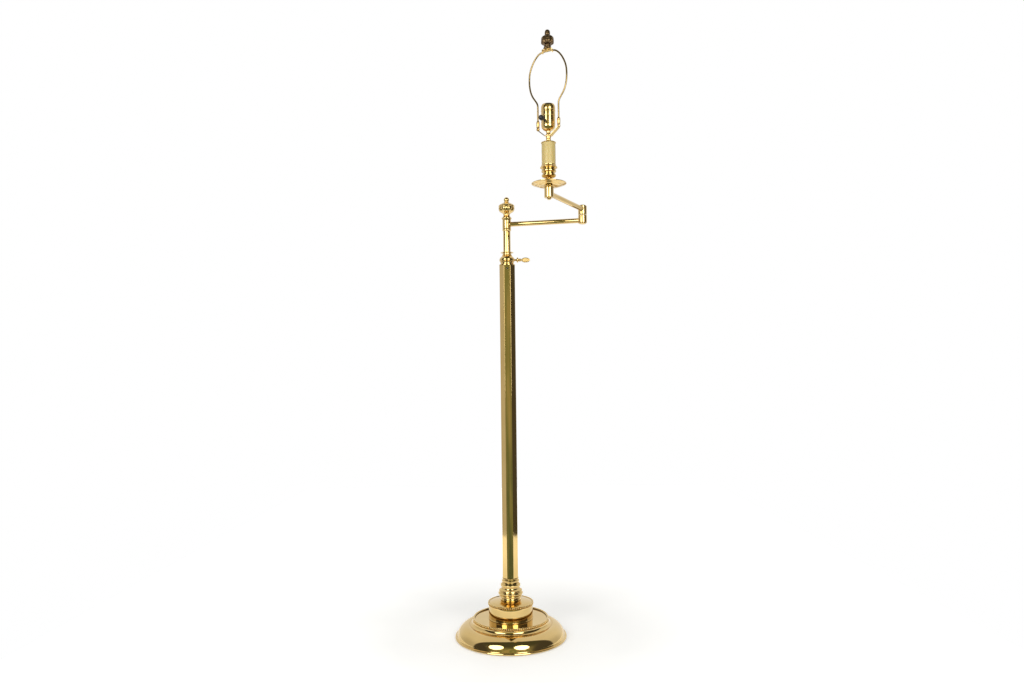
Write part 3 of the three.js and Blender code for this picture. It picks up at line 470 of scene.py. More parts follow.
def steel(name, light=1.0):
    made = Finish(name, 1.0)
    low, high = 0.50 * light, 0.66 * light
    made.colour(made.ramp(made.noise(40, 5), [(0.3, (low, low, low)), (0.7, (high, high, high * 0.98))]))
    made.rough(made.spread(made.noise(90, 6), 0.24, 0.42))
    made.bump(made.noise(700, 3, (1, 1, 0.1)), 0.00003, 0.5)
    return made.material


def iron():
    made = Finish("cast_iron", 0.8)
    made.colour(made.ramp(made.noise(50, 6), [(0.3, (0.045, 0.045, 0.047)), (0.7, (0.10, 0.095, 0.09))]))
    made.rough(made.spread(made.noise(130, 6), 0.62, 0.9))
    made.bump(made.noise(350, 6), 0.0012, 0.7)
    return made.material


def ivory():
    made = Finish("candle_ivory", 0.0, 0.12)
    warm = made.ramp(made.noise(16, 5, (1, 1, 0.35)), [(0.3, (0.60, 0.45, 0.165)), (0.7, (0.70, 0.55, 0.24))])
    drips = made.noise(120, 5, (1, 1, 0.2))
    shade = made.ramp(drips, [(0.35, (0.52, 0.37, 0.12)), (0.7, (0.63, 0.475, 0.19))])
    made.colour(made.mix(made.spread(made.noise(45, 5, (1, 1, 0.15)), 0, 0.5), warm, shade))
    made.rough(made.spread(made.noise(80, 5), 0.34, 0.5))
    made.bump(made.noise(260, 4, (1, 1, 0.08)), 0.0001, 0.5)
    made.shader.inputs["Subsurface Weight"].default_value = 0.12
    made.shader.inputs["Subsurface Radius"].default_value = (0.004, 0.0025, 0.001)
    return made.material


def plastic(name, low, high, gloss):
    made = Finish(name, 0.0)
    made.colour(made.ramp(made.noise(70, 5), [(0.3, low), (0.7, high)]))
    made.rough(made.spread(made.noise(120, 5), gloss, gloss + 0.14))
    made.bump(made.noise(500, 4), 0.0001, 0.35)
    return made.material


def felt():
    made = Finish("felt", 0.0)
    nap = made.noise(300, 8, roughness=0.7)
    made.colour(made.ramp(nap, [(0.3, (0.012, 0.03, 0.016)), (0.7, (0.045, 0.08, 0.05))]))
    made.rough(made.spread(made.noise(300, 5), 0.88, 1.0))
    made.bump(made.noise(900, 6, roughness=0.8), 0.0012, 0.8)
    made.shader.inputs["Sheen Weight"].default_value = 0.4
    return made.material


def fibre():
    made = Finish("fibre", 0.0)
    strands = made.noise(180, 8, (1, 1, 0.3))
    made.colour(made.ramp(strands, [(0.3, (0.16, 0.085, 0.035)), (0.7, (0.34, 0.22, 0.11))]))
    made.rough(made.spread(made.noise(150, 5), 0.7, 0.9))
    made.bump(made.noise(800, 6), 0.0004, 0.6)
    return made.material


satin_brass = brass("satin_brass", 0.00003, rough=(0.4, 0.5), light=0.85)
# A darker copy of the brass for the harp wire: painted shade for the dark surroundings it mirrors.
shaded_wire_brass = brass("shaded_wire_brass", rough=(0.08, 0.16), light=0.55)
dark_steel = steel("dark_steel", 0.16)
finishes = {
    "polished_brass": brass("polished_brass"),
    "brass_screw": brass("brass_screw", 0.00001),
    "antique_bronze": bronze(),
    "steel": steel("steel"),
    "cast_iron": iron(),
    "candle_ivory": ivory(),
    "black_plastic": plastic("black_plastic", (0.004, 0.004, 0.005), (0.010, 0.010, 0.010), 0.2),
    "nylon": plastic("nylon", (0.66, 0.63, 0.53), (0.76, 0.73, 0.64), 0.38),
    "felt": felt(),
    "fibre": fibre(),
    "phenolic": plastic("phenolic", (0.018, 0.010, 0.007), (0.045, 0.026, 0.017), 0.3),
    "wire_insulation": plastic("wire_insulation", (0.008, 0.008, 0.008), (0.02, 0.02, 0.02), 0.5),
}
column_brass = brass("column_brass", 0.00004, True)
groove_patina_and_shade = patina_and_shade_brass()

slot_of = {s["node"]: s["material_slot"] for s in frame["record"]["subparts"]}
body_of = {n: b for b, members in frame["record"]["behaviour"]["bodies"].items() for n in members}
for name, node in nodes.items():
    node.data.materials.clear()
    node.data.materials.append(finishes[slot_of[name]])


def piece(shape, node, where, finish=None, sharp=SHARP):
    """Makes a shape the look of a CAD node: same body, same slot."""
    made = shape.made(node + "_look", where, sharp)
    made.data.materials.append(finish or finishes[slot_of[node]])
    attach(made, body_of[node])
    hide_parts(node)
    return made


def turned_piece(node, corners, where=AXIS, sides=96, closed=True, steps=5):
    section = rounded(corners, steps, closed)
    piece(Shape().turned(section, sides, closed), node, where)


# ---- Base ----
FELT = 2.9  # thickness
SHEET = 1.5  # thickness of the base's shell and of the column's wall
ROD_HOLE = 5.3  # radius of the tie rod's hole

z = floor_of("base_felt")
rim = radius_of("base_felt")
felt_corners = [(0, z), (rim, z, 0.6), (rim, z + FELT, 0.8), (0, z + FELT)]
turned_piece("base_felt", felt_corners, sides=160, closed=False)

z, top = ends_of("base_shell")
rim = radius_of("base_shell")
dome = rim - 38
ledge = z + 42.9
rolled_edge = [
    (rim - 3, z),
    (rim - 0.2, z, 1.0),
    (rim, z + 2.0, 1.2),
    (rim - 1.0, z + 3.9, 1.4),
    (rim - 4.4, z + 4.3, 0.5),
    (rim - 4.7, z + 5.2),
]
platform = [
    (dome - 9.1, ledge),
    (dome - 14.3, ledge, 0.4),
    (dome - 14.3, top - 0.4, 0.5),
    (dome - 18, top - 0.7, 6),
    (62, top - 0.2, 3),
    (40, top),
]
outside = [
    *rounded(rolled_edge),
    *arc(dome, z, 33.5, 10, 86, 26),
    (dome - 0.9, z + 33.1),
    (dome - 1.6, z + 33.7),
    *arc(dome - 0.2, z + 42.6, 8.6, 262, 180, 14),
    *rounded(platform),
    (ROD_HOLE, top),
]
inside = []
for i, (x, h) in enumerate(outside):
    before = np.array(outside[max(i - 1, 0)])
    after = np.array(outside[min(i + 1, len(outside) - 1)])
    along = (after - before) / np.linalg.norm(after - before)
    inside.append((x - along[1] * SHEET, h + along[0] * SHEET))
inside = inside[4::2]  # from above the rolled edge, with half as many points
shell = piece(Shape().turned([*outside, *inside[::-1]], 192, True), "base_shell", AXIS)

low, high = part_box("cord_bushing")
start, end = low.y * MM, high.y * MM
level = level_of("cord_bushing")
bush_r = radius_of("cord_bushing")
drill(shell, "bushing_hole", bush_r + 0.2, 110, 160, TO_BACK, level, 48)
inlet = 3.6
bush = [
    (inlet, start, 0.5),
    (bush_r - 0.3, start, 0.5),
    (bush_r - 0.3, end - 4.4, 0.2),
    (bush_r + 1.4, end - 4.0, 0.6),
    (bush_r + 0.6, end, 1.4),
    (inlet, end, 1.4),
]
bushing = Shape().turned(rounded(bush, 5, True), 48, True)
piece(bushing.moved(TO_BACK).moved(shifted(0, level)), "cord_bushing", AXIS)

for node, width, count in (("base_bead_ring", 5.0, 112), ("drum_bead_ring", 3.6, 72)):
    z, top = ends_of(node)
    rim = radius_of(node)
    high = top - z
    middle = z + high * 0.48
    groove = rim - 2.9
    band = [
        (rim - width, z, 0.2),
        (rim - 0.7, z, 0.3),
        (rim - 0.5, z + high * 0.1, 0.3),
        (groove, z + high * 0.16, 0.2),
        (groove, z + high * 0.8, 0.2),
        (rim - 0.6, z + high * 0.86, 0.4),
        (rim - 0.7, top, 0.6),
        (rim - width + 0.9, top, 0.8),
        (rim - width, top - 1.2, 0.5),
    ]
    ring = Shape().turned(rounded(band, 5, True), 192, True)
    pitch = 2 * math.pi * (rim - 2.2) / count
    ring.beads(rim - 2.25, middle, count, (pitch * 0.45, 2.2, high * 0.37))
    made = piece(ring, node, AXIS)
    # The groove faces behind the beads get the darker brass: patina and painted shade.
    made.data.materials.append(groove_patina_and_shade)
    for face in made.data.polygons:
        at = face.center * MM
        deep = math.hypot(at.x, at.y) < groove + 0.3 and abs(at.z - middle) < high * 0.33
        if deep and len(face.vertices) == 4:
            face.material_index = 1

# ---- Drum, foot and column ----
z, cap = ends_of("base_drum")
wall = radius_of("base_drum")
ring_z = floor_of("drum_bead_ring")
drum = [
    (wall - 1.4, z),
    (wall, z, 0.3),
    (wall, z + 1.6, 0.5),
    (wall - 0.7, z + 2.4, 0.6),
    (wall - 0.6, z + 12, 20),
    (wall - 0.9, ring_z - 4, 20),
    (wall - 1.2, ring_z - 0.3, 0.3),
    (wall - 2.5, ring_z - 0.2, 0.2),
    (wall - 2.5, ring_z + 4.9, 0.5),
    (46, cap - 2.6, 30),
    (31, cap - 0.2, 2),
    (6, cap),
    (6, cap - 1.4),
    (wall - 3.9, ring_z + 3),
]
turned_piece("base_drum", drum, sides=160)

z = floor_of("column_foot")
neck = 20.1
foot = [
    (ROD_HOLE, z),
    (neck + 6.2, z, 0.5),
    (neck + 6.6, z + 3.2, 1.4),
    (neck + 5.9, z + 5.6, 0.6),
    (neck + 5.0, z + 7.2, 0.8),
    (neck + 7.4, z + 8.4, 1.0),
    (neck + 9.9, z + 10.2, 1.2),
    (neck + 9.9, z + 12.4, 1.2),
    (neck + 8.6, z + 14.0, 0.6),
    (neck + 9.6, z + 15.2, 0.5),
    (neck + 12.4, z + 17.2, 1.6),
    (neck + 12.4, z + 19.8, 1.8),
    (neck + 10.2, z + 22.2, 1.0),
    (neck + 9.6, z + 24.0, 0.5),
    (neck + 10.6, z + 25.2, 0.7),
    (neck + 9.8, z + 27.2, 0.9),
    (neck + 5.2, z + 30.4, 3.0),
    (neck + 3.4, z + 33.2, 2.0),
    (neck + 3.6, z + 35.2, 0.6),
    (neck + 5.9, z + 37.0, 1.2),
    (neck + 6.0, z + 41.5, 1.8),
    (neck + 3.8, z + 44.0, 0.8),
    (neck + 1.9, z + 46.8, 1.4),
    (neck + 1.6, z + 48.4, 0.5),
    (neck + 2.8, z + 49.6, 0.7),
    (neck + 2.8, z + 52.0, 0.9),
    (neck + 1.1, z + 53.6, 0.5),
    (neck + 0.6, z + 56.2, 1.2),
    (neck + 1.3, z + 57.2, 0.5),
    (neck + 1.1, z + 58.5, 0.4),
    (ROD_HOLE, z + 58.5),
]
turned_piece("column_foot", foot, sides=128, steps=6)

flats = radius_of("column")
floor, top = ends_of("column")
corner = flats / math.cos(math.pi / 8)
outline = []
for k in range(8):
    a = (k + 0.5) * math.pi / 4
    outline.append((corner * math.cos(a), corner * math.sin(a), 0.9))
around = np.array(rounded(outline, 4, True))
bore = around * ((flats - SHEET) / flats)
bevel = 0.4
straight = top - floor - 2 * bevel
levels = [(floor, bevel), (floor + bevel, 0)]
levels += [(floor + bevel + straight * k / 40, 0) for k in range(1, 40)]
levels += [(top - bevel, 0), (top, bevel)]
rows = []
for level, inset in levels:
    rows.append(np.column_stack([around * (1 - inset / flats), np.full(len(around), level)]))
for level in (top, floor):
    rows.append(np.column_stack([bore, np.full(len(bore), level)]))
column = piece(Shape().grid(rows, True, True), "column", AXIS, finish=column_brass, sharp=24)

low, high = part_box("column_set_screw")
start, end = -high.y * MM, -low.y * MM
level = level_of("column_set_screw")
screw_r = radius_of("column_set_screw")
drill(column, "screw_hole", screw_r + 0.35, 12, 30, TO_FRONT, level, 40)
head = [
    (0, start),
    (screw_r, start, 0.3),
    (screw_r, end - 0.2, 0.6),
    (1.4, end, 0.3),
    (1.2, end - 1.2, 0.2),
    (0, end - 1.6),
]
screw = Shape().turned(rounded(head), 40)
piece(screw.moved(TO_FRONT).moved(shifted(0, level)), "column_set_screw", AXIS, finish=dark_steel)

# ---- Collar and clamp ----
z = top_of("column") + 0.3
top = top_of("collar")
bore = 9.9
collar = [
    (bore, z - 24),
    (18, z - 24, 0.5),
    (18, z, 0.1),
    (20.8, z, 0.4),
    (21.0, z + 2.2, 1.0),
    (19.4, z + 3.4, 0.7),
    (17.4, z + 4.0, 0.6),
    (17.0, z + 6.4, 1.6),
    (18.2, z + 8.6, 0.7),
    (18.6, z + 9.6, 0.5),
    (17.8, z + 10.2, 0.4),
    (19.6, z + 11.2, 1.0),
    (20.5, z + 14.0, 3.0),
    (19.8, z + 18.0, 5.0),
    (16.2, z + 22.6, 5.0),
    (13.4, z + 24.8, 1.6),
    (12.6, z + 26.0, 0.5),
    (13.2, z + 26.8, 0.6),
    (13.0, z + 28.0, 0.6),
    (11.0, z + 29.0, 0.8),
    (11.0, z + 31.4, 0.6),
    (11.6, top - 0.8, 0.4),
    (11.6, top, 0.3),
    (bore, top, 0.3),
]
turned_piece("collar", collar, sides=128, steps=6)
z, top = ends_of("collar_disc")
rim = radius_of("collar_disc")
disc = [
    (bore, z, 0.2),
    (rim - 1.2, z, 0.5),
    (rim, (z + top) / 2, 0.5),
    (rim - 1.2, top, 0.5),
    (bore, top, 0.2),
]
turned_piece("collar_disc", disc)

low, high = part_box("thumb_screw")
start, tip = low.x * MM, high.x * MM
to_level = shifted(0, level_of("thumb_screw"))
stem = [
    (0, start),
    (2.7, start, 0.4),
    (2.7, 24.6, 0.2),
    (4.6, 25.0, 0.5),
    (6.9, 26.4, 0.9),
    (6.7, 28.4, 1.1),
    (4.4, 29.8, 0.9),
    (2.9, 30.6, 0.8),
    (2.9, 31.8, 0.5),
    (4.6, 32.8, 1.2),
    (4.6, 35.0, 1.4),
    (2.9, 36.2, 0.8),
    (2.6, 37.2, 0.6),
    (2.8, 40.5, 0.8),
    (0, 42.0),
]
screw = Shape().turned(rounded(stem, 6), 64)
screw.moved(TO_RIGHT)
half_long, half_wide = 11.5, 6.5
# The paddle's upper half: how far each ring reaches out, as a share, and its height.
upper = [(0, 1.0), (0.5, 1.05), (0.72, 1.1), (0.8, 1.35), (0.9, 1.6), (0.97, 1.25), (1.0, 0.5)]
a = round_angles(64)
waist = 1 - 0.10 * np.exp(-((a - math.pi) ** 2) / 0.5)
rows = []
for grow, lift in [*upper, *[(grow, -lift) for grow, lift in upper[::-1]]]:
    long = tip - half_long + half_long * grow * np.cos(a)
    rows.append(np.stack([long, np.full(64, lift), half_wide * grow * waist * np.sin(a)], 1))
screw.grid(rows)
screw = piece(screw.moved(to_level), "thumb_screw", AXIS)
screw.data.materials.append(satin_brass)
satin_from = 38
for face in screw.data.polygons:
    face.material_index = int(face.center.x * MM > satin_from)

low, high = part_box("clamp_shoe")
start, end = low.x * MM, high.x * MM
shoe = Shape().turned(rounded([(0, start), (2.7, start, 0.4), (2.7, end, 0.4), (0, end)]), 40)
piece(shoe.moved(TO_RIGHT).moved(to_level), "clamp_shoe", AXIS)

# ---- Pole ----
z, top = ends_of("pole")
pole_r = radius_of("pole")
inner = pole_r - 1.2
tube = [(inner, z, 0.2), (pole_r, z, 0.4), (pole_r, top, 0.4), (inner, top, 0.2)]
turned_piece("pole", tube, sides=80)
z, top = ends_of("pole_foot_bush")
bush_r = radius_of("pole_foot_bush")
inner = pole_r + 0.3
bush = [(inner, z, 0.2), (bush_r, z, 0.8), (bush_r, top, 0.8), (inner, top, 0.2)]
turned_piece("pole_foot_bush", bush, sides=80)

RING_HOLE = 5.4
z, top = ends_of("swivel_ring_lower")
lower_ring = [
    (RING_HOLE, z),
    (9.9, z, 0.4),
    (10.6, z + 0.7, 0.5),
    (11.5, z + 1.7, 0.8),
    (11.4, z + 3.2, 0.6),
    (10.9, z + 3.7, 0.3),
    (11.3, z + 4.3, 0.4),
    (11.1, top, 0.3),
    (RING_HOLE, top),
]
turned_piece("swivel_ring_lower", lower_ring, sides=80)
z, top = ends_of("swivel_ring_upper")
upper_ring = [
    (RING_HOLE, z),
    (10.7, z, 0.3),
    (11.4, z + 1.2, 1.5),
    (12.0, z + 2.6, 1.5),
    (13.1, z + 4.0, 0.6),
    (13.3, z + 5.0, 0.4),
    (12.9, z + 6.0, 0.5),
    (11.0, z + 6.4, 0.4),
    (10.3, top, 0.5),
    (RING_HOLE, top),
]
turned_piece("swivel_ring_upper", upper_ring)


def petals(count, depth, low_z, high_z, power, turn=0.0):
    """Lobes round a turned piece that fade out towards two levels."""

    def warp(angles, radius, height):
        share = np.clip((height - low_z) / (high_z - low_z), 0, 1)
        fade = math.sin(math.pi * float(share)) ** power if 0 < share < 1 else 0.0
        lobe = np.abs(np.cos((angles - turn) * count / 2)) ** 0.8
        return radius * (1 - depth * fade * (1 - lobe))

    return warp


z, top = ends_of("pole_finial")
wide = radius_of("pole_finial")
bowl = [
    (0, z + 9),
    (5.3, z + 9),
    (5.3, z, 0.2),
    (9.6, z, 0.5),
    (10.0, z + 1.4, 0.6),
    (9.0, z + 2.6, 0.5),
    (8.3, z + 4.6, 1.5),
    (8.7, z + 8.4, 2.5),
    (12.5, z + 11.2, 4.0),
    (18.6, z + 14.8, 5.0),
    (wide - 0.3, z + 19.4, 4.0),
    (wide, z + 23.2, 2.0),
    (wide - 1.0, z + 25.0, 0.7),
    (wide - 1.4, z + 26.0, 0.5),
    (wide - 0.2, z + 27.2, 0.8),
    (wide - 0.6, z + 29.6, 1.4),
    (18.0, z + 32.6, 3.0),
    (12.0, z + 35.6, 6.0),
    (7.4, z + 38.4, 2.5),
    (5.6, z + 39.8, 0.8),
    (5.9, z + 40.8, 0.6),
    (5.2, z + 41.4, 0.4),
]
section = [*rounded(bowl, 6), *arc(0, top - 7.0, 7.0, -40, 90, 18)]
half_lobe = math.pi / 8
gadroon = petals(8, 0.105, z + 9.0, z + 25.2, 0.6, half_lobe)
crown = petals(8, 0.085, z + 25.8, z + 38.6, 0.7, half_lobe)
flute = petals(12, 0.07, z + 2.6, z + 9.4, 0.6)


def finial_warp(angles, radius, height):
    if radius < 5.5:
        return radius
    return flute(angles, 1, height) * gadroon(angles, 1, height) * crown(angles, 1, height) * radius


finial = Shape().turned(filled(section, 0.55), 192, False, finial_warp)
piece(finial, "pole_finial", AXIS, sharp=40)

# ---- Arms ----
BARREL = 11.1  # radius of the swivel barrels
TUBE = 6.15  # radius of the arm tubes
HOLE = 4.3  # bore of what sits on the elbow's pin and on the lamp's nipple


def barrel(node, bore, where):
    z, top = ends_of(node)
    corners = [
        (bore, z, 0.2),
        (BARREL - 0.5, z, 0.5),
        (BARREL, z + 0.9, 0.7),
        (BARREL, top - 0.9, 0.7),
        (BARREL - 0.5, top, 0.5),
        (bore, top, 0.2),
    ]
    turned_piece(node, corners, where)


def arm(node, where, length):
    """A tube whose ends follow the barrels, with a thin brazed fillet round each joint."""
    level = sum(ends_of(node)) / 2
    a = round_angles(64)
    near = []
    for gap, flare in ((0.0, 1.1), (0.25, 0.55), (0.7, 0.2), (1.4, 0.0), (40, 0.0)):
        across = (TUBE + flare) * np.cos(a)
        reach = np.sqrt(BARREL**2 - across**2) + gap + 0.05
        near.append(np.stack([reach, across, level + (TUBE + flare) * np.sin(a)], 1))
    far = [row * (-1, 1, 1) + (length, 0, 0) for row in near[::-1]]
    middle = [near[-1] * (1 - k / 12) + far[0] * (k / 12) for k in range(1, 12)]
    near_cap = np.tile((BARREL, 0, level), (64, 1))
    far_cap = np.tile((length - BARREL, 0, level), (64, 1))
    piece(Shape().grid([near_cap, *near, *middle, *far, far_cap]), node, where)


def elbow_cap(node, where, face, seat):
    """A cap over the elbow's pin; face and seat are the levels of its two sides."""
    out = 1 if face > seat else -1
    corners = [
        (0, face - 0.5 * out),
        (2.2, face - 0.3 * out, 0.6),
        (3.2, face, 0.4),
        (6.4, face - 0.5 * out, 1.5),
        (8.8, face - 1.5 * out, 0.8),
        (9.0, seat, 0.2),
        (0, seat),
    ]
    turned_piece(node, corners, where, 72, False)


barrel("arm_1_barrel", 5.35, AXIS)
arm("arm_1_tube", ARM_1, math.hypot(elbow_at.x, elbow_at.y) * MM)
arm("arm_2_tube", ARM_2, math.hypot(lamp_at.x - elbow_at.x, lamp_at.y - elbow_at.y) * MM)
barrel("elbow_lower_barrel", HOLE, ELBOW_1)
barrel("elbow_upper_barrel", HOLE + 0.05, ARM_2)
z, top = ends_of("elbow_cap_lower")
elbow_cap("elbow_cap_lower", ELBOW_1, z, top)
z, top = ends_of("elbow_cap_upper")
elbow_cap("elbow_cap_upper", ARM_2, top, z)
z, top = ends_of("elbow_washer")
turned_piece("elbow_washer", [(HOLE, z), (10.4, z, 0.3), (10.4, top, 0.3), (HOLE, top)], ELBOW_1, 72)

# ---- Candle holder ----
barrel("post_barrel", HOLE, HEAD)
z, top = ends_of("post_screw")
post_screw = [
    (0, z + 0.7),
    (1.8, z + 0.3, 0.6),
    (2.6, z, 0.5),
    (4.0, z + 1.0, 1.2),
    (4.7, z + 2.6, 0.8),
    (5.0, z + 3.2, 0.3),
    (5.0, top, 0.2),
    (0, top),
]
turned_piece("post_screw", post_screw, HEAD, 64, False)

z, top = ends_of("dish")
rim = 41.0
under = [
    (HOLE, z),
    (12.0, z, 1.0),
    (13.4, z + 0.9, 0.6),
    (22.0, z + 1.3, 8.0),
    (29.6, z + 3.2, 3.0),
    (31.0, z + 4.6, 0.7),
    (32.6, z + 4.9, 0.6),
    (37.6, z + 6.2, 4.0),
    (rim - 1.6, z + 7.4, 0.8),
    (rim - 0.1, z + 7.5, 0.8),
    (rim, top - 0.5, 0.7),
    (rim - 1.6, top, 0.7),
    (rim - 2.6, top - 0.9, 0.5),
    (37.0, z + 7.4, 4.0),
    (31.8, z + 6.2, 0.6),
    (30.0, z + 5.8, 0.7),
    (28.6, z + 4.5, 3.0),
    (21.0, z + 2.6, 8.0),
    (13.0, z + 2.1, 0.6),
    (11.6, z + 1.3, 1.0),
    (HOLE, z + 1.3),
]
turned_piece("dish", under, HEAD, 144, steps=6)
z, top = ends_of("dish_neck")
neck = [
    (HOLE, z),
    (7.2, z, 0.4),
    (7.2, z + 2.0, 0.8),
    (5.8, z + 3.0, 0.6),
    (5.4, z + 7.5, 3.0),
    (6.0, z + 9.2, 0.7),
    (7.4, z + 10.4, 0.9),
    (7.4, z + 12.0, 0.9),
    (6.0, z + 13.2, 0.7),
    (5.6, top - 2.4, 1.5),
    (8.4, top - 0.6, 0.8),
    (8.6, top, 0.2),
    (HOLE, top),
]
turned_piece("dish_neck", neck, HEAD, 72)

z, top = ends_of("candle_cup")
cup = [
    (HOLE, z),
    (11.2, z, 0.5),
    (12.6, z + 0.9, 0.8),
    (15.6, z + 2.4, 0.8),
    (17.0, z + 4.4, 1.4),
    (16.8, z + 6.8, 1.4),
    (15.0, z + 8.4, 0.7),
    (14.0, z + 9.6, 1.0),
    (14.0, z + 11.0, 0.7),
    (15.6, z + 12.4, 0.8),
    (17.3, z + 14.2, 1.3),
    (17.4, z + 16.8, 1.6),
    (15.9, z + 18.6, 0.7),
    (15.3, z + 19.8, 0.9),
    (15.7, z + 21.0, 0.5),
    (18.6, z + 22.2, 0.9),
    (20.25, z + 23.4, 0.8),
    (20.1, z + 24.6, 0.7),
    (18.4, z + 26.6, 1.6),
    (17.5, z + 28.4, 0.8),
    (17.7, top, 0.5),
    (16.65, top, 0.3),
    (16.65, top - 4, 0.3),
    (HOLE, top - 4),
]
turned_piece("candle_cup", cup, HEAD, 112, steps=6)

z, top = ends_of("candle_sleeve")
outer = 16.35
inner = outer - 1.4
sleeve = [(inner, z, 0.3), (outer, z, 0.4), (outer, top, 0.6), (inner, top, 0.4)]
turned_piece("candle_sleeve", sleeve, HEAD)

z = floor_of("candle_cap")
cap = [
    (5.2, z),
    (17.2, z, 0.3),
    (17.8, z + 0.7, 0.5),
    (17.4, z + 1.5, 0.5),
    (15.6, z + 2.0, 1.2),
    (10.5, z + 4.2, 5.0),
    (7.4, z + 6.0, 1.2),
    (5.2, z + 6.2, 0.3),
]
turned_piece("candle_cap", cap, HEAD, 112)

z, top = ends_of("socket_neck")
neck = [
    (HOLE, z + 1.4),
    (5.1, z + 1.4),
    (5.1, z + 2.6, 0.2),
    (5.9, z + 3.0, 0.4),
    (6.0, z + 5.2, 0.6),
    (4.9, z + 6.0, 0.5),
    (4.8, z + 7.0, 0.4),
    (5.9, z + 7.8, 0.5),
    (5.9, top - 0.7, 0.3),
    (6.3, top, 0.3),
    (HOLE, top),
]
turned_piece("socket_neck", neck, HEAD, 64)

# ---- Socket ----
z, top = ends_of("socket_cap")
body = [
    (4.4, z),
    (6.6, z, 0.3),
    (6.6, z + 1.2, 0.4),
    (5.2, z + 1.8, 0.5),
    (4.9, z + 6.0, 3.0),
    (5.5, z + 9.4, 1.0),
    (7.2, z + 10.6, 1.2),
    (12.2, z + 13.2, 6.0),
    (15.8, z + 18.4, 5.0),
    (16.3, z + 23.0, 3.0),
    (16.2, z + 24.2, 0.3),
    (16.5, z + 24.9, 0.3),
    (16.5, top - 1.6, 0.3),
    (16.2, top - 1.1, 0.3),
    (16.4, top - 0.2, 0.2),
    (15.6, top, 0.2),
    (15.5, z + 22.4, 4.0),
    (12.0, z + 15.4, 4.0),
    (4.4, z + 11.6),
]
turned_piece("socket_cap", body, HEAD, 112, steps=6)
z, top = ends_of("socket_shell")
body = [
    (15.6, z, 0.2),
    (16.4, z, 0.2),
    (16.5, z + 0.9, 0.3),
    (16.5, z + 8.6, 0.5),
    (16.1, z + 9.4, 0.5),
    (16.1, z + 10.4, 0.4),
    (17.0, z + 11.6, 0.7),
    (17.1, z + 12.6, 0.7),
    (16.2, z + 13.8, 0.5),
    (16.3, z + 15.0, 0.8),
    (16.5, z + 17.0, 1.0),
    (16.3, top - 4.6, 2.5),
    (14.9, top - 1.2, 2.0),
    (14.4, top - 0.1, 0.5),
    (13.9, top, 0.4),
    (13.9, top - 0.9, 0.3),
    (15.5, top - 5.0, 2.0),
    (15.6, z + 14, 1.0),
]
turned_piece("socket_shell", body, HEAD, 112, steps=6)

CONTACT_HOLE = 6.2
z, top = ends_of("screw_shell")
rows = [level_ring(CONTACT_HOLE, z + 0.9), *thread(z + 1.2, top, 13.13, 0.42, 3.63, 150, 12)]
rows += [level_ring(14.0, top), level_ring(14.2, z), level_ring(CONTACT_HOLE, z)]
piece(Shape().grid(rows, True, True), "screw_shell", HEAD)

z, top = ends_of("centre_contact")
contact = [(0, z), (4.0, z, 0.2), (4.0, z + 1.2, 0.6), (2.4, top - 0.3, 1.0), (0, top)]
turned_piece("centre_contact", contact, HEAD, 48, False)
z, top = ends_of("socket_liner")
liner = [
    (14.6, z, 0.1),
    (15.3, z, 0.1),
    (15.3, top - 5.2, 1.0),
    (13.7, top - 1.8, 0.4),
    (13.4, top - 1.8, 0.2),
    (14.6, top - 5.6, 1.0),
]
turned_piece("socket_liner", liner, HEAD)

knob_tip = 43.0
stem = [
    (0, 9),
    (1.8, 9, 0.2),
    (1.8, 16.2, 0.1),
    (3.4, 16.6, 0.4),
    (3.4, 19.6, 0.5),
    (2.5, 20.2, 0.3),
    (2.5, knob_tip - 12.4, 0.4),
    (4.6, knob_tip - 12.0, 0.8),
    (5.9, knob_tip - 10.2, 1.8),
    (6.0, knob_tip - 5.0, 3.0),
    (5.0, knob_tip - 1.6, 2.4),
    (2.6, knob_tip - 0.1, 1.6),
    (0, knob_tip),
]


def grip(angles, radius, height):
    if knob_tip - 11.5 < height < knob_tip - 1.2 and radius > 4:
        return radius * (1 - 0.02 * (0.5 - 0.5 * np.cos(angles * 16)) ** 1.5)
    return radius


knob = Shape().turned(rounded(stem, 6), 128, False, grip)
piece(knob.moved(TO_RIGHT).moved(shifted(0, level_of("switch_knob"))), "switch_knob", HEAD)

# ---- Harp ----
LEG = 27.0  # from the lamp's axis to each leg
STRAP = 5.5  # half the width of the saddle's strap and of the top plate
WIRE = 2.0  # radius
strap_z, strap_top = ends_of("harp_saddle")
rise = strap_top - strap_z


def strap_width(y, h):
    """Wider where the nipple goes through, and rounded off at both tips."""
    wide = STRAP * (1.0 if abs(y) > 9 or h > 4 else 1.12)
    tip = min(abs(h - rise), 3.0) if abs(y) > LEG - 3 else 3.0
    return wide * (0.72 + 0.28 * math.sin(math.pi / 2 * tip / 3.0))


bends = [
    (-LEG, rise),
    (-LEG, rise - 5.0, 3.5),
    (-6.6, 1.0, 4.0),
    (6.6, 1.0, 4.0),
    (LEG, rise - 5.0, 3.5),
    (LEG, rise),
]
strap = Shape().grid(ribbon(filled(rounded(bends, 8), 2.0), strap_width, 0.95, 0.5, strap_z))
z = strap_top - 6.0
cup = [
    (0, z),
    (2.6, z, 0.8),
    (3.7, z + 1.6, 1.0),
    (3.8, z + 5.0, 0.4),
    (3.6, z + 5.8, 0.3),
    (2.5, z + 5.8),
    (0, z + 5.8),
]
for side in (-1, 1):
    first = len(strap.points)
    strap.turned(rounded(cup), 48)
    strap.moved(shifted(side * LEG, 0), first)
piece(strap, "harp_saddle", HEAD, sharp=40)

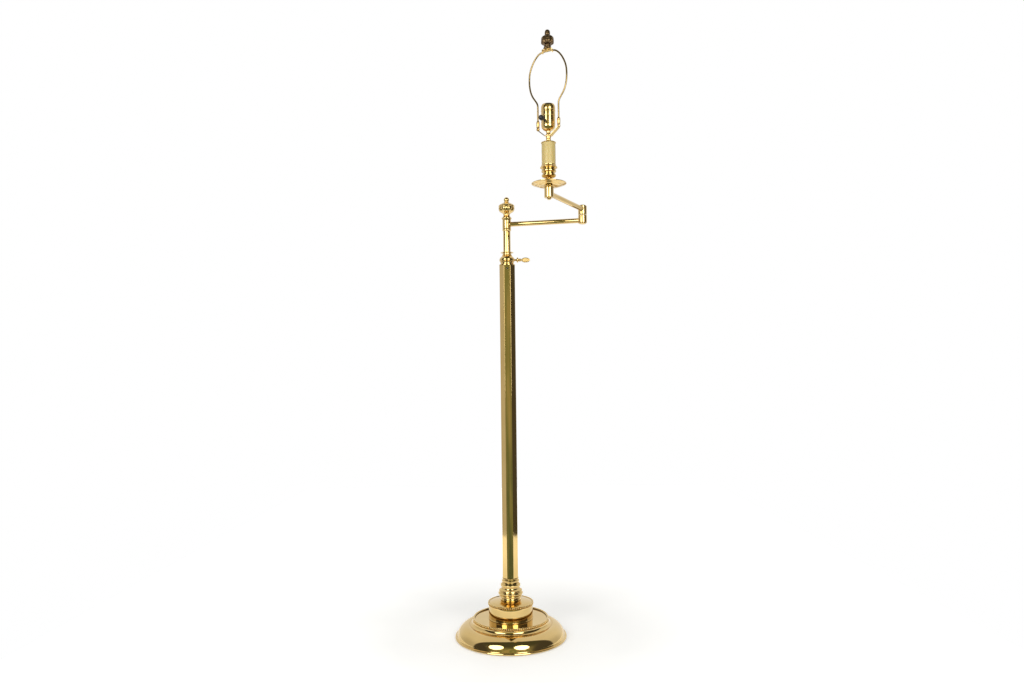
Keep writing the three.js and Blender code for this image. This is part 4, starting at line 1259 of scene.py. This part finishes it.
for node, side in (("harp_sleeve_left", 1), ("harp_sleeve_right", -1)):
    z, top = ends_of(node)
    sleeve = [
        (2.3, z, 0.1),
        (3.5, z, 0.4),
        (3.9, z + 1.0, 0.6),
        (3.9, z + 2.2, 0.3),
        (3.6, z + 2.8, 0.3),
        (3.75, z + 3.6, 1.0),
        (3.9, z + 8.0, 4.0),
        (3.8, top - 2.6, 2.0),
        (3.0, top - 0.5, 1.4),
        (2.3, top, 0.3),
    ]
    shape = Shape().turned(rounded(sleeve, 5, True), 56, True)
    piece(shape.moved(shifted(side * LEG, 0)), node, HEAD)

z, top = ends_of("harp_wire")
saddle_top = strap_z + 2
high = top - saddle_top - 2
wide = 48.6
half = [
    (LEG, z - saddle_top + 0.5),
    (LEG, high * 0.12),
    (LEG, high * 0.24),
    (LEG, high * 0.36),
    (LEG + 1.8, high * 0.402),
    (LEG + 6.0, high * 0.437),
    (LEG + 12.6, high * 0.487),
    (LEG + 17.4, high * 0.54),
    (LEG + 20.6, high * 0.61),
    (wide, high * 0.69),
    (wide - 1.5, high * 0.775),
    (wide - 6.4, high * 0.85),
    (wide - 14.8, high * 0.925),
    (wide - 25.5, high * 0.98),
    (12.0, high * 0.998),
]
line = smooth_path([*half, (0, high), *[(-y, h) for y, h in half[::-1]]], 10)
path = np.array([(0, y, saddle_top + h) for y, h in line])
ring = circle(WIRE, 24)
rows = []
for i, point in enumerate(path):
    along = path[min(i + 1, len(path) - 1)] - path[max(i - 1, 0)]
    along /= np.linalg.norm(along)
    outward = np.array([0, -along[2], along[1]])
    rows.append(point + np.outer(ring[:, 0], (1, 0, 0)) + np.outer(ring[:, 1], outward))
# The wire takes the darker brass copy, which is painted shade.
piece(Shape().grid(closed_ends(rows)), "harp_wire", HEAD, finish=shaded_wire_brass)


def plate_width(_, h):
    """Full on top, and narrower where the plate hangs down along the wire."""
    hang = max(0.0, min(1.0, (1.0 - h) / 7.0))
    return STRAP * (1 - 0.62 * hang)


z = floor_of("harp_top_plate")
bends = [(-12.6, -6.4), (-12.2, 1.2, 2.2), (-7.5, 1.6, 3), (7.5, 1.6, 3), (12.2, 1.2, 2.2), (12.6, -6.4)]
plate = Shape().grid(ribbon(filled(rounded(bends, 6), 1.2), plate_width, 0.8, 0.4, z))
rivet = [
    (0, z - 0.9),
    (1.6, z - 0.9, 0.3),
    (2.2, z - 1.6, 0.5),
    (3.9, z - 1.7, 0.6),
    (4.4, z - 0.6, 0.6),
    (4.2, z + 0.9),
    (0, z + 0.9),
]
plate.turned(rounded(rivet), 64)
piece(plate, "harp_top_plate", HEAD, sharp=40)

z, top = ends_of("harp_stud")
threaded = thread(z + 2.7, top - 0.6, 2.95, 0.16, 0.94, 130, 8)
rows = [level_ring(0, z), level_ring(3.0, z), *threaded, level_ring(2.5, top), level_ring(0, top)]
piece(Shape().grid(rows), "harp_stud", HEAD)

z, top = ends_of("harp_finial")
wide = 15.5
bulb = [
    (0, z + 15.4),
    (3.4, z + 15.4),
    (3.4, z, 0.2),
    (9.0, z, 0.5),
    (9.7, z + 1.6, 0.9),
    (8.9, z + 3.4, 0.9),
    (7.6, z + 4.6, 0.8),
    (8.3, z + 6.0, 0.7),
    (8.5, z + 7.4, 0.9),
    (6.2, z + 8.8, 0.9),
    (5.6, z + 10.2, 1.5),
    (10.2, z + 11.0, 1.5),
    (14.3, z + 12.6, 2.5),
    (wide, z + 16.6, 3.5),
    (wide, z + 22.0, 5.0),
    (13.6, z + 26.6, 4.0),
    (9.6, z + 29.6, 3.0),
    (6.7, z + 31.2, 1.0),
    (5.9, z + 32.4, 0.7),
    (6.5, z + 34.0, 1.5),
    (6.65, z + 38.5, 3.0),
    (5.4, z + 42.6, 2.5),
    (2.8, top - 0.3, 1.5),
    (0, top),
]
LEAVES_FROM, LEAVES_HIGH = 10.4, 20.6
TIP_FROM, TIP_HIGH = 33, 11
leaf_turn = math.radians(28)


def leaves(angles, radius, height):
    """Six folded leaves round the bulb and six shallow flutes round the tip."""
    share = (height - z - LEAVES_FROM) / LEAVES_HIGH
    tip = (height - z - TIP_FROM) / TIP_HIGH
    if radius < 4:
        return radius
    if 0 < share < 1:
        fade = min(1, math.sin(math.pi * share**0.75) ** 0.4 * 1.15)
        lobe = np.abs(np.cos((angles - leaf_turn) * 3))
        main = np.minimum(1, lobe * 1.5) ** 0.9
        rib = np.exp(-((lobe - 1) ** 2) / 0.004) * math.sin(math.pi * share)
        fold = 0.022 * math.sin(share * math.pi * 3) * main
        return radius * (1 - 0.23 * fade * (1 - main) - 0.045 * rib + fold * fade)
    if 0 < tip < 1:
        return radius * (1 - 0.06 * math.sin(math.pi * tip) * (0.5 + 0.5 * np.cos(angles * 6)))
    return radius


finial = Shape().turned(filled(rounded(bulb, 6), 0.45), 192, False, leaves)
piece(finial, "harp_finial", HEAD, sharp=50)

# ---- Floor, world and lights ----
FLOOR_LEVEL = -0.6
xs, ys = np.linspace(-1250, 1250, 9), np.linspace(-500, 2600, 9)
floor = Shape().grid([[(x, y, FLOOR_LEVEL) for x in xs] for y in ys], False).made("floor", AXIS)
pale = Finish("pale_floor", 0.0)
pale.colour(pale.ramp(pale.noise(6, 5), [(0.3, (0.90, 0.90, 0.90)), (0.7, (0.93, 0.93, 0.93))]))
pale.rough(pale.spread(pale.noise(20, 4), 0.6, 0.7))
pale.bump(pale.noise(500, 3), 0.0001, 0.2)
away = pale.new("ShaderNodeVectorMath")
away.operation = "LENGTH"
pale.link(pale.place, away.inputs[0])
# The floor glows more where the softboxes don't reach, so that its edges can't be seen.
glow = pale.spread(away.outputs["Value"], 0.24, 0.66, 0.3, 0.95)
pale.link(glow, pale.shader.inputs["Emission Strength"])
pale.shader.inputs["Emission Color"].default_value = (1, 1, 1, 1)
floor.data.materials.append(pale.material)

world = bpy.data.worlds.new("studio")
scene.world = world
world.use_nodes = True
tree = world.node_tree
tree.nodes.clear()
link = tree.links.new


def math_node(kind, *values):
    node = tree.nodes.new("ShaderNodeMath")
    node.operation = kind
    for socket, value in zip(node.inputs, values):
        if isinstance(value, (int, float)):
            socket.default_value = value
        else:
            link(value, socket)
    return node.outputs[0]


def step(source, start, end):
    node = tree.nodes.new("ShaderNodeMapRange")
    node.interpolation_type = "SMOOTHSTEP"
    node.inputs["From Min"].default_value = start
    node.inputs["From Max"].default_value = end
    link(source, node.inputs["Value"])
    return node.outputs["Result"]


def blend(factor, a, b):
    node = tree.nodes.new("ShaderNodeMix")
    node.data_type = "RGBA"
    link(factor, node.inputs["Factor"])
    for index, value in ((6, a), (7, b)):
        if isinstance(value, tuple):
            node.inputs[index].default_value = (*value, 1)
        else:
            link(value, node.inputs[index])
    return node.outputs[2]


# What the brass mirrors: a dim patchy room behind the camera, and pale walls behind the lamp.
# The camera itself sees plain white. x, y and z are a direction's parts, from -1 to 1.
where = tree.nodes.new("ShaderNodeTexCoord").outputs["Generated"]
split = tree.nodes.new("ShaderNodeSeparateXYZ")
link(where, split.inputs[0])
x, y, z = split.outputs
patches = tree.nodes.new("ShaderNodeTexNoise")
patches.inputs["Scale"].default_value = 9
patches.inputs["Detail"].default_value = 2
link(where, patches.inputs["Vector"])
patchy = step(patches.outputs["Fac"], 0.4, 0.6)
sideways = math_node("ABSOLUTE", x)
below = blend(patchy, (0.11, 0.15, 0.09), (0.25, 0.27, 0.14))
ahead = blend(patchy, (0.24, 0.27, 0.13), (0.44, 0.39, 0.22))
front_low = blend(step(z, -0.22, 0.02), below, ahead)
front = blend(step(z, 0.35, 0.75), front_low, (0.075, 0.08, 0.05))
front_and_side = blend(step(sideways, 0.5, 0.8), front, (0.075, 0.07, 0.06))
back_low = blend(step(sideways, 0.6, 0.97), (0.86, 0.86, 0.85), (0.60, 0.59, 0.57))
back = blend(step(z, 0.2, 0.9), back_low, (0.80, 0.79, 0.78))
edge = math_node("SUBTRACT", y, math_node("MULTIPLY", x, 0.12))
room = blend(step(edge, -0.03, 0.03), front_and_side, back)
lit = tree.nodes.new("ShaderNodeBackground")
link(room, lit.inputs["Color"])
white = tree.nodes.new("ShaderNodeBackground")
white.inputs["Color"].default_value = (1, 1, 1, 1)
white.inputs["Strength"].default_value = 1.0
ray = tree.nodes.new("ShaderNodeLightPath").outputs["Is Camera Ray"]
choose = tree.nodes.new("ShaderNodeMixShader")
link(ray, choose.inputs[0])
link(lit.outputs[0], choose.inputs[1])
link(white.outputs[0], choose.inputs[2])
out = tree.nodes.new("ShaderNodeOutputWorld")
link(choose.outputs[0], out.inputs["Surface"])

LAMP_MIDDLE = Vector((0, 0, 0.95))
for name, place in (("softbox_left", (-0.94, -1.416, 1.24)), ("softbox_right", (0.69, -1.555, 1.24))):
    data = bpy.data.lights.new(name, "AREA")
    data.shape = "ELLIPSE"
    data.size = 1.02
    data.size_y = 1.36
    data.energy = 15
    softbox = bpy.data.objects.new(name, data)
    softbox.location = place
    softbox.rotation_euler = (LAMP_MIDDLE - Vector(place)).to_track_quat("-Z", "Y").to_euler()
    softbox.visible_camera = False
    scene.collection.objects.link(softbox)
